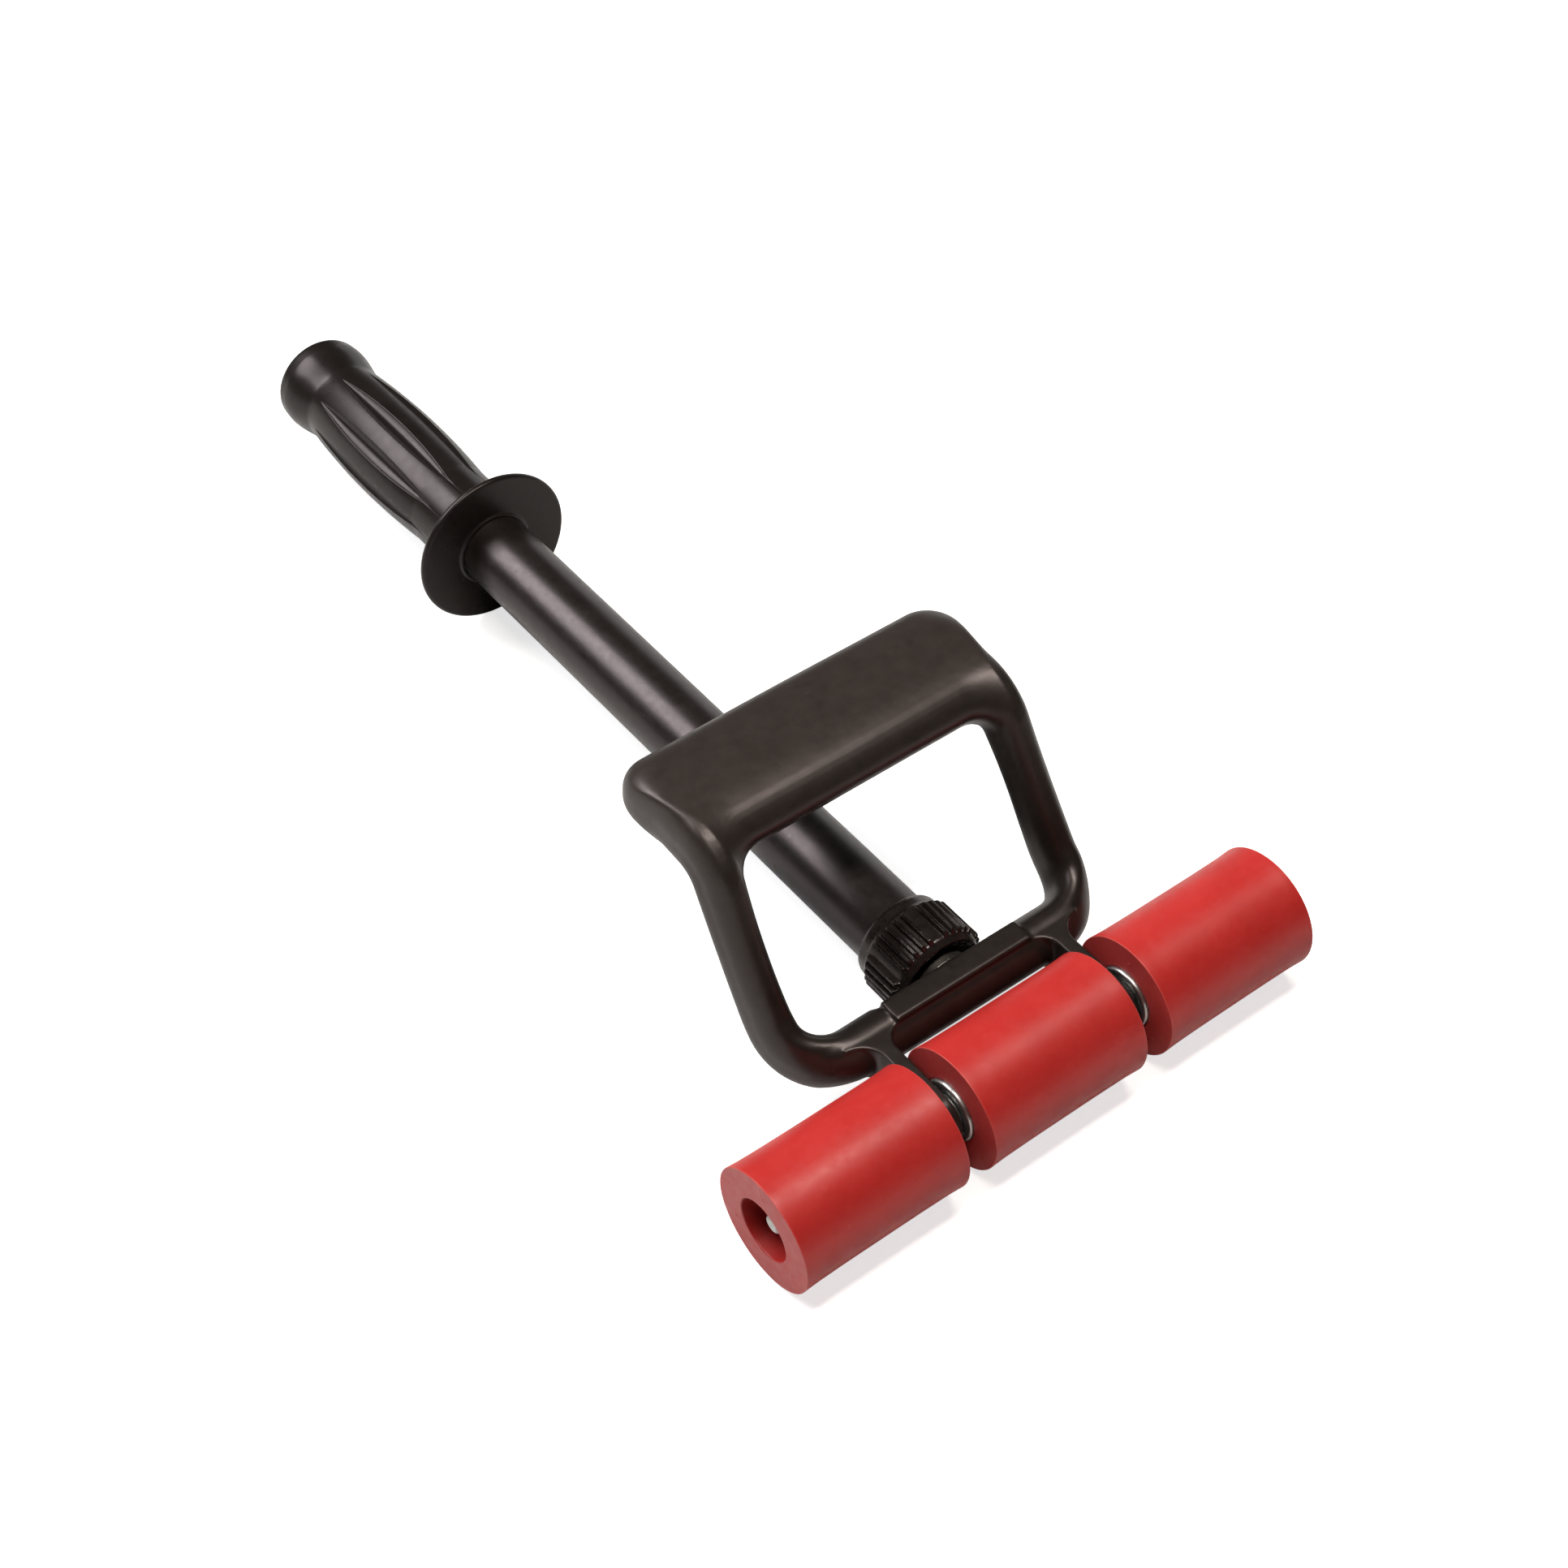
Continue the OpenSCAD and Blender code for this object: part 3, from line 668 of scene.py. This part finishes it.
def loop_mesh():
    """The D-handle's loop; behind the block the crossbar is cut flat."""
    half = [(k, i / STRETCH_STEPS[k]) for k in range(5) for i in range(STRETCH_STEPS[k])]
    rings = [loop_ring(k, t, 1) for k, t in half]
    rings.append(loop_ring(PALM, 1.0, 1))
    rings += [loop_ring(k, t, -1) for k, t in reversed(half[1:])]
    points = []
    for ring in rings:
        for x, y, z in ring:
            if abs(x) < BLOCK_W and z < FLAT_TOP_Z and y < FLAT_BACK_Y:
                y = min(y, BLOCK_BACK_Y)
            points.append((x, y, z))
    count = len(rings)
    faces = []
    for i in range(count):
        for j in range(SECTION_STEPS):
            i2, j2 = (i + 1) % count, (j + 1) % SECTION_STEPS
            faces.append(
                (
                    i * SECTION_STEPS + j,
                    i * SECTION_STEPS + j2,
                    i2 * SECTION_STEPS + j2,
                    i2 * SECTION_STEPS + j,
                )
            )
    return make_object("loop", points, faces)


def block_mesh():
    """Flat-topped block in the middle of the crossbar."""
    profile = [
        (BLOCK_FRONT_Y, BLOCK_HIGH - 0.5),
        (BLOCK_FRONT_Y + 0.5, BLOCK_HIGH),
        (BLOCK_BACK_Y - 0.8, BLOCK_HIGH),
        (BLOCK_BACK_Y, BLOCK_HIGH - 0.8),
        (BLOCK_BACK_Y, -BLOCK_LOW),
        (BLOCK_FRONT_Y - LEDGE_D, -BLOCK_LOW),
        (BLOCK_FRONT_Y - LEDGE_D, LEDGE_Z),
        (BLOCK_FRONT_Y, LEDGE_Z),
    ]
    return extruded("block", profile, -BLOCK_W, BLOCK_W, lambda u, v, w: (w, u, v))


def corner_arc(x, y, r, start):
    """Points of a quarter circle about x, y that starts at an angle in quarter turns."""
    turns = [(start + i / ARC_STEPS) * math.pi / 2 for i in range(ARC_STEPS + 1)]
    return [(x + r * math.cos(a), y + r * math.sin(a)) for a in turns]


def arm_meshes(side):
    """One fork arm with its concave webs and round tip."""
    arm_x = PITCH / 2
    low_x, high_x = arm_x - ARM_T / 2, arm_x + ARM_T / 2
    out_y = BAR_Y - WEB_OUT_SET
    plan = [(low_x, 0), (high_x, 0)]
    plan += list(reversed(corner_arc(high_x + WEB_OUT_R, out_y - WEB_OUT_R, WEB_OUT_R, 1)))
    plan += [(high_x + WEB_OUT_R, BAR_Y), (low_x - WEB_IN_R, BAR_Y)]
    plan += list(reversed(corner_arc(low_x - WEB_IN_R, BLOCK_FRONT_Y - WEB_IN_R, WEB_IN_R, 0)))
    arm = extruded("arm", plan, -WEB_LOW, ARM_H, lambda u, v, w: (side * u, v, w))
    tip = [(0, side * low_x), (ARM_H, side * low_x), (ARM_H, side * high_x), (0, side * high_x)]
    return [arm, turned("tip", tip, "X", 96)]


def casting():
    """The whole casting as one skin with small natural fillets."""
    spigot_r = INNER_R - INNER_WALL - FIT
    spigot_y = BLOCK_BACK_Y + SPIGOT_L
    spigot = [(0, BAR_Y), (spigot_r, BAR_Y), (spigot_r, spigot_y), (0, spigot_y)]
    parts = [loop_mesh(), block_mesh(), turned("spigot", spigot, "Y", 64)]
    parts += arm_meshes(1) + arm_meshes(-1)
    for part in parts:
        apply_modifiers(part)
    obj = joined("casting", parts)
    remesh = obj.modifiers.new("Skin", "REMESH")
    remesh.mode = "VOXEL"
    remesh.voxel_size = CASTING_VOXEL * MM
    soften = obj.modifiers.new("Soften", "SMOOTH")
    soften.factor = 0.5
    soften.iterations = SOFTEN_PASSES
    apply_modifiers(obj)
    bore_r = AXLE_R + FIT
    bore = turned("bore", [(0, -PITCH), (bore_r, -PITCH), (bore_r, PITCH), (0, PITCH)], "X", 64)
    apply_modifiers(bore)
    drill = obj.modifiers.new("Axle bore", "BOOLEAN")
    drill.operation = "DIFFERENCE"
    drill.object = bore
    drill.solver = "MANIFOLD"
    apply_modifiers(obj)
    bpy.data.objects.remove(bore)
    obj.data.shade_smooth()
    obj.data.set_sharp_from_angle(angle=math.radians(50))
    return obj


# ---- Rollers, bearings and axle ----

PIP_COUNT = 3
PIP_R = 0.7
PIP_H = 0.22
PIP_AT = 14.5
FACE_STEPS = 40
WAIST_AT = 15
SHOULDER_AT = 5
SHOULDER_H = 0.12


def roller(name, centre_x):
    """Rubber roller, a little narrower in its middle, with small moulding pips on both end faces."""
    half = ROLLER_L / 2
    waist_r = RIM_R - ROLLER_FLARE
    corners = [(BORE_R, -half, 0.5), (RIM_R, -half, 0.3)]
    shoulder_r = waist_r + SHOULDER_H
    corners += [(shoulder_r, -half + SHOULDER_AT, 3), (waist_r, -half + WAIST_AT, 5)]
    corners += [(waist_r, half - WAIST_AT, 5), (shoulder_r, half - SHOULDER_AT, 3)]
    corners += [(RIM_R, half, 0.3), (BORE_R, half, 0.5)]
    outline_points = rounded(corners, 6)
    profile = []
    for i, p in enumerate(outline_points):
        profile.append((p.x, centre_x + p.y))
        n = outline_points[(i + 1) % len(outline_points)]
        if abs(abs(p.y) - half) < 0.01 and abs(abs(n.y) - half) < 0.01 and abs(n.x - p.x) > 3:
            for k in range(1, FACE_STEPS):
                q = p.lerp(n, k / FACE_STEPS)
                profile.append((q.x, centre_x + q.y))

    def pips(i, angle):
        r, d = profile[i]
        if abs(abs(d - centre_x) - half) > 0.01:
            return 0.0
        nearest = round(angle / (2 * math.pi / PIP_COUNT)) * 2 * math.pi / PIP_COUNT
        gap = math.hypot(r - PIP_AT, (angle - nearest) * r)
        return PIP_H * smooth(max(0.0, 1 - gap / PIP_R))

    return turned(name, profile, "X", 288, pips)


def bearing(name, back_x, facing):
    """Sealed bearing: rounded outer ring, sunk seal and inner ring on the side that faces +1 or -1."""
    front = BEARING_L
    seal_out, seal_in, seal_d = 8.0, 5.2, 0.55
    corners = [(AXLE_R + FIT, 0, 0.3), (BORE_R, 0, 0), (BORE_R, front, 1.1), (seal_out, front, 0.25)]
    corners += [(seal_out - 0.15, front - seal_d, 0.2), (seal_in + 0.15, front - seal_d, 0.2)]
    corners += [(seal_in, front - 0.1, 0.2), (AXLE_R + FIT, front - 0.1, 0.3)]
    profile = [(p.x, back_x + facing * p.y) for p in rounded(corners, 6)]
    return turned(name, profile, "X", 96)


def bearings(name, ends):
    """The bearings of one roller as one piece; each end is its hidden side's x and its facing."""
    made = [bearing(f"{name}_{i}", back_x, facing) for i, (back_x, facing) in enumerate(ends)]
    for part in made:
        apply_modifiers(part)
    obj = joined(name, made)
    obj.modifiers.new("Even shading", "WEIGHTED_NORMAL")
    return obj


def axle():
    """Round bar with broken edges and a shallow turned dish in each end."""
    end_x = AXLE_HIGH.x
    corners = [(0, end_x - 0.6, 0), (1.2, end_x - 0.5, 0.4), (2.1, end_x - 0.05, 0.3)]
    corners += [(AXLE_R - 0.6, end_x, 0.2), (AXLE_R, end_x - 0.6, 0.3)]
    half = [(p.x, p.y) for p in rounded(corners + [(AXLE_R, 0, 0), (0, 0, 0)], 4)][:-2]
    profile = half + [(r, -d) for r, d in reversed(half)]
    return turned("axle_bar", profile, "X", 96)


# ---- Twist collar ----

RIB_GROUPS = 6
GROUP_RIBS = 5
RIB_H = 1.5
RIB_W = 1.85
RIB_FLAT = 0.4
RIB_FLANK = 0.7
RIB_TIP = 0.3
RIB_START = 0.7
RIB_KNEE = 2.7
RIB_DROP = 2.9
RIB_FALL = 15.2
RIB_FALL_L = 1.9
RIB_SINK = 0.4
RIB_END = 17.2
BEVEL_L = 2.0
RING_AT = 16.8
MOUTH_R = 13.3
SEAT_R = 11.8
SEAT_AT = 1.2
THREAD_R = 13.65
THREAD_AT = 6.4
COLLAR_GAP = 0.15
COLLAR_LAP = 1.2
PROFILE_STEP = 0.4
COLLAR_STEPS = 1080


def rib_shape(angle):
    """1 on a rib, 0 between ribs; after every five ribs one is left out, which leaves a smooth band."""
    spacing = 2 * math.pi / RIB_GROUPS / (GROUP_RIBS + 1)
    index = round(angle / spacing)
    if index % (GROUP_RIBS + 1) == 0:
        return 0.0
    off = abs(angle - index * spacing) * COLLAR_R / (RIB_W / 2)
    return ease(1, 0, (off - RIB_FLAT) / RIB_FLANK)


def collar():
    """Ribbed plastic collar: the ribs bend over its front and fade into a plain rear ring."""
    front, back = COLLAR_LOW.y, COLLAR_HIGH.y
    base_r = COLLAR_R - RIB_H
    bore_r = TUBE_R + COLLAR_GAP
    shoulder_y = TUBE_LOW.y + COLLAR_LAP
    outside = [
        (MOUTH_R, front, 0.15),
        (MOUTH_R + 0.7, front, 0.2),
        (base_r, front + BEVEL_L, 0.8),
        (base_r, front + RING_AT, 0.6),
        (base_r - 0.3, front + RING_AT + 0.6, 0.3),
        (base_r - 0.4, back - 1.0, 0.5),
        (base_r - 0.9, back, 0.3),
    ]
    inside = [
        (bore_r, back, 0.3),
        (bore_r, shoulder_y, 0),
        (THREAD_R, shoulder_y, 0),
        (THREAD_R, front + THREAD_AT, 0),
        (SEAT_R, front + SEAT_AT, 0.2),
    ]
    sparse = rounded(outside + inside, 6)
    last_outside = max(i for i, p in enumerate(sparse) if p.x > bore_r + 0.4)
    profile = []
    for i, p in enumerate(sparse):
        n = sparse[(i + 1) % len(sparse)]
        steps = max(1, math.ceil((n - p).length / PROFILE_STEP)) if i < last_outside else 1
        profile += [tuple(p.lerp(n, k / steps)) for k in range(steps)]
        if i == last_outside:
            outside_count = len(profile)

    def rib_top(y):
        """Radius over the ribs: a steep bevel at the front, level, then a round fall at the rear."""
        y -= front
        if y < RIB_KNEE:
            rise = 0.5 * (y - RIB_START) / (RIB_KNEE - RIB_START) + 0.5 * (y / RIB_KNEE) ** 2
            return ease(COLLAR_R - RIB_DROP, COLLAR_R, rise)
        return ease(COLLAR_R, COLLAR_R - RIB_H - RIB_SINK, (y - RIB_FALL) / RIB_FALL_L)

    heights = [
        max(0.0, rib_top(y) - r) if i < outside_count and RIB_TIP < y - front < RIB_END else 0.0
        for i, (r, y) in enumerate(profile)
    ]

    def ribs(i, angle):
        return heights[i] * rib_shape(angle) if heights[i] else 0.0

    return turned("collar_ring", profile, "Y", COLLAR_STEPS, ribs, radial=True)


# ---- Grip ----

FLUTES = 9
FLUTE_HALF_W = 3.0
FLUTE_D = 1.5
FLUTE_TURN = math.radians(-8)
FLUTE_FROM = 22
FLUTE_TO = 96
FLUTE_POINT = 2.2
FLUTE_ROUND = 0.9
GRIP_STEPS = 720
BARREL_STEPS = 150
FLARE_STEPS = 16
BARREL_AT = 24.9
BARREL_L = 76.0
BARREL_R = 17.6
BARREL_ROUND = 0.8
NECK_R = 15.4
NECK_PART = 0.12
FLARE_LAP = 3
POMMEL_L = 7
POMMEL_R = 17.6
POMMEL_ROUND = 6.0
ROOT_R = 16.0
ROOT_STEPS = 7
ROOT_RISE = 3
ROOT_L = 7
FLANGE_T = 3.0
LIP_L = 1.2


def grip():
    """Flanged vinyl grip with pointed flutes along its barrel and a flared, rounded pommel."""
    end = GRIP_HIGH.y
    mouth = GRIP_LOW.y
    face = mouth + LIP_L
    barrel_y = mouth + BARREL_AT
    tube_end = TUBE_HIGH.y + FIT
    flare_y = barrel_y + BARREL_L - FLARE_LAP
    flare_end = end - POMMEL_L
    head = [(0, end, 0), (POMMEL_R - 0.6, end, POMMEL_ROUND)]
    head += [(POMMEL_R, flare_end + 0.5, 2.5), (POMMEL_R, flare_end, 0)]
    profile = [(p.x, p.y) for p in rounded(head, 14)]

    def barrel(y):
        """Radius of the swelling barrel; near its neck it is no thinner than the root."""
        u = min(1.0, max(0.0, (y - barrel_y) / BARREL_L))
        r = NECK_R + (BARREL_R - NECK_R) * math.sin(math.pi * u) ** BARREL_ROUND
        return max(r, ROOT_R) if u < NECK_PART else r

    for i in range(1, FLARE_STEPS):
        y = flare_end - (flare_end - flare_y) * i / FLARE_STEPS
        profile.append((ease(barrel(y), POMMEL_R, (y - flare_y) / (flare_end - flare_y)), y))
    for i in range(BARREL_STEPS + 1):
        y = flare_y + (barrel_y - flare_y) * i / BARREL_STEPS
        profile.append((barrel(y), y))
    profile.append((ROOT_R, barrel_y - 4))
    back = face + FLANGE_T
    for i in range(ROOT_STEPS + 1):
        u = 1 - i / ROOT_STEPS
        profile.append((ROOT_R + ROOT_RISE * (1 - u) ** 3, back + ROOT_L * u))
    rim = rounded(
        [
            (ROOT_R + ROOT_RISE + 0.1, back, 0.5),
            (FLANGE_R, back - 0.4, 1.3),
            (FLANGE_R, face, 1.3),
            (TUBE_R + 1.4, face, 0.3),
            (TUBE_R + 0.9, mouth + 0.5, 0.3),
            (TUBE_R, mouth + 0.5, 0.15),
        ],
        6,
    )
    profile += [(p.x, p.y) for p in rim]
    profile += [(TUBE_R, tube_end), (0, tube_end)]

    flute_low, flute_high = mouth + FLUTE_FROM, mouth + FLUTE_TO

    def flutes(i, angle):
        r, y = profile[i]
        if not flute_low < y < flute_high or r < ROOT_R - 1:
            return 0.0
        u = (y - flute_low) / (flute_high - flute_low)
        half_w = FLUTE_HALF_W * (1 - abs(2 * u - 1) ** FLUTE_POINT)
        if half_w < 0.05:
            return 0.0
        spacing = 2 * math.pi / FLUTES
        off = ((angle - FLUTE_TURN + spacing / 2) % spacing - spacing / 2) * r
        inside = 1 - (off / half_w) ** 2
        return -FLUTE_D * half_w / FLUTE_HALF_W * max(0.0, inside) ** FLUTE_ROUND

    return turned("grip_sleeve", profile, "Y", GRIP_STEPS, flutes)


# ---- Tubes ----


def tube(name, low_y, high_y, radius, wall):
    """Drawn tube with lightly broken edges."""
    corners = [(radius - wall, low_y, 0.2), (radius, low_y, 0.3)]
    corners += [(radius, high_y, 0.3), (radius - wall, high_y, 0.2)]
    return turned(name, [tuple(p) for p in rounded(corners, 3)], "Y", 192)


# ---- Build ----

casting_black = casting_finish()
tube_black = tube_finish()
collar_black = collar_finish()
grip_black = grip_finish()
bright = steel_finish("Bright steel", (0.52, 0.52, 0.51), 0.36, (1, 20, 20))
dark_steel = steel_finish("Spring steel", (0.2, 0.19, 0.18), 0.34, (1, 12, 12))
greased = inner_steel_finish()
nylon = nylon_finish()

place_piece(casting(), "frame", "casting", casting_black, "handle_casting")
place_piece(
    tube("inner_sleeve", INNER_LOW.y, INNER_HIGH.y, INNER_R, INNER_WALL),
    "frame",
    "inner_steel",
    greased,
    "inner_tube",
)
place_piece(axle(), "frame", "bright_steel", bright, "axle")

near, far = PITCH - ROLLER_L / 2, AXLE_HIGH.x + AXLE_INSET - BEARING_RECESS
inset = BEARING_L - BEARING_PROUD
half_roller = ROLLER_L / 2
bearing_ends = {
    "left": [(-near - inset, 1), (-far + BEARING_L, -1)],
    "middle": [(-half_roller + inset, -1), (half_roller - inset, 1)],
    "right": [(near + inset, -1), (far - BEARING_L, 1)],
}
for order, side in enumerate(("left", "middle", "right")):
    centre_x = (order - 1) * PITCH
    red = roller_finish(f"Red roller {side}", centre_x)
    wheel = f"{side}_wheel"
    place_piece(roller(f"roller_{side}", centre_x), wheel, "roller_rubber", red, f"{side}_roller")
    place_piece(
        bearings(f"bearings_{side}", bearing_ends[side]),
        wheel,
        "bright_steel",
        bright,
        f"{side}_roller_bearings",
    )

place_piece(
    tube("sliding_tube", TUBE_LOW.y, TUBE_HIGH.y, TUBE_R, TUBE_WALL),
    "handle",
    "tube_paint",
    tube_black,
    "outer_tube",
)
place_piece(grip(), "handle", "grip_vinyl", grip_black, "grip")
place_piece(collar(), "collar", "collar_plastic", collar_black, "lock_collar")

kept_nodes = {
    "tube_pin": bright,
    "thrust_washers": bright,
    "axle_retainers": dark_steel,
    "left_roller_spacer": bright,
    "middle_roller_spacer": bright,
    "right_roller_spacer": bright,
    "tube_guide": nylon,
    "lock_collet": collar_black,
    "lock_bush": collar_black,
    "tube_plug": grip_black,
}
for node, material in kept_nodes.items():
    for material_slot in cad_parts[node].material_slots:
        material_slot.material = material

# ---- Floor, camera and light ----

FLOOR_SIZE = 9000.0
FLOOR_GAP = 0.2
FLANGE_MIDDLE_Y = GRIP_LOW.y + 2.7
FLOOR_SLOPE = math.atan2(FLANGE_R - RIM_R, FLANGE_MIDDLE_Y)


def make_floor():
    """Large pale sheet that touches the rollers and the grip's flange."""
    half = FLOOR_SIZE / 2
    run, fall = math.cos(FLOOR_SLOPE), -math.sin(FLOOR_SLOPE)
    points = []
    for x, d in ((-half, -half), (half, -half), (half, half), (-half, half)):
        points.append((x, d * run, d * fall - RIM_R - FLOOR_GAP))
    obj = make_object("floor", points, [(0, 1, 2, 3)])
    obj.data.materials.append(floor_finish())


CAMERA_AT = Vector((-329.4, -324.7, 603.6))
CAMERA_AIM = Vector((10.9, 129.1, 0.0))
CAMERA_ROLL = math.radians(-0.74)
CAMERA_LENS = 60.23
TOP_FROM = (0.0, -0.11, 0.99)
REAR_FROM = (-0.375, 0.62, 0.69)
SIDE_FROM = (0.84, 0.53, 0.12)
WARM_LIGHT = (1.0, 0.95, 0.87)
HORIZON_GLOW = 0.025
OVERHEAD_GLOW = 0.0036
GLOW_FADE_FROM = 0.05
GLOW_FADE_TO = 0.5
ROOM_GLOW = 0.95


def make_camera():
    """Camera at the photograph's viewing angle."""
    data = bpy.data.cameras.new("camera")
    data.lens = CAMERA_LENS
    data.sensor_width = 36.0
    data.clip_start = 0.01
    data.clip_end = 50.0
    obj = bpy.data.objects.new("camera", data)
    bpy.context.scene.collection.objects.link(obj)
    obj.location = CAMERA_AT * MM
    obj.rotation_mode = "QUATERNION"
    roll = Quaternion((0, 0, 1), CAMERA_ROLL)
    obj.rotation_quaternion = (CAMERA_AIM - CAMERA_AT).to_track_quat("-Z", "Y") @ roll
    bpy.context.scene.camera = obj


def make_light(name, towards, distance, width, depth, power_watts, colour=(1, 1, 1)):
    """Softbox that shines on the middle of the object from a direction; width runs along X."""
    data = bpy.data.lights.new(name, "AREA")
    data.shape = "RECTANGLE"
    data.size = width * MM
    data.size_y = depth * MM
    data.energy = power_watts
    data.color = colour
    obj = bpy.data.objects.new(name, data)
    bpy.context.scene.collection.objects.link(obj)
    away = Vector(towards).normalized()
    middle = Vector((0, (cad_low.y + cad_high.y) / 2, 0))
    obj.location = middle + away * distance * MM
    across = (Vector((1, 0, 0)) - away * away.x).normalized()
    obj.matrix_world = Matrix.Translation(obj.location) @ Matrix(
        (across, away.cross(across), away)
    ).transposed().to_4x4()


def make_world():
    """Pale room to the camera; to the object it is pale at the horizon and dark overhead."""
    world = bpy.data.worlds.new("room")
    bpy.context.scene.world = world
    world.use_nodes = True
    tree = world.node_tree
    sky = tree.nodes["Background"]
    sky.inputs["Color"].default_value = (1, 1, 1, 1)
    place = tree.nodes.new("ShaderNodeTexCoord")
    parts = tree.nodes.new("ShaderNodeSeparateXYZ")
    tree.links.new(place.outputs["Generated"], parts.inputs[0])
    fade = tree.nodes.new("ShaderNodeMapRange")
    fade.inputs["From Min"].default_value = GLOW_FADE_FROM
    fade.inputs["From Max"].default_value = GLOW_FADE_TO
    fade.inputs["To Min"].default_value = HORIZON_GLOW
    fade.inputs["To Max"].default_value = OVERHEAD_GLOW
    tree.links.new(parts.outputs["Z"], fade.inputs["Value"])
    seen = tree.nodes.new("ShaderNodeLightPath")
    choose = tree.nodes.new("ShaderNodeMix")
    tree.links.new(seen.outputs["Is Camera Ray"], choose.inputs[0])
    tree.links.new(fade.outputs["Result"], choose.inputs[2])
    choose.inputs[3].default_value = ROOM_GLOW
    tree.links.new(choose.outputs[0], sky.inputs["Strength"])


make_floor()
make_camera()
make_light("top", TOP_FROM, distance=2200, width=1700, depth=360, power_watts=48.0, colour=WARM_LIGHT)
make_light("rear", REAR_FROM, distance=2400, width=1450, depth=1000, power_watts=52.0)
make_light("side", SIDE_FROM, distance=2200, width=1500, depth=700, power_watts=4.0)
make_world()
bpy.context.scene.view_settings.view_transform = "Standard"
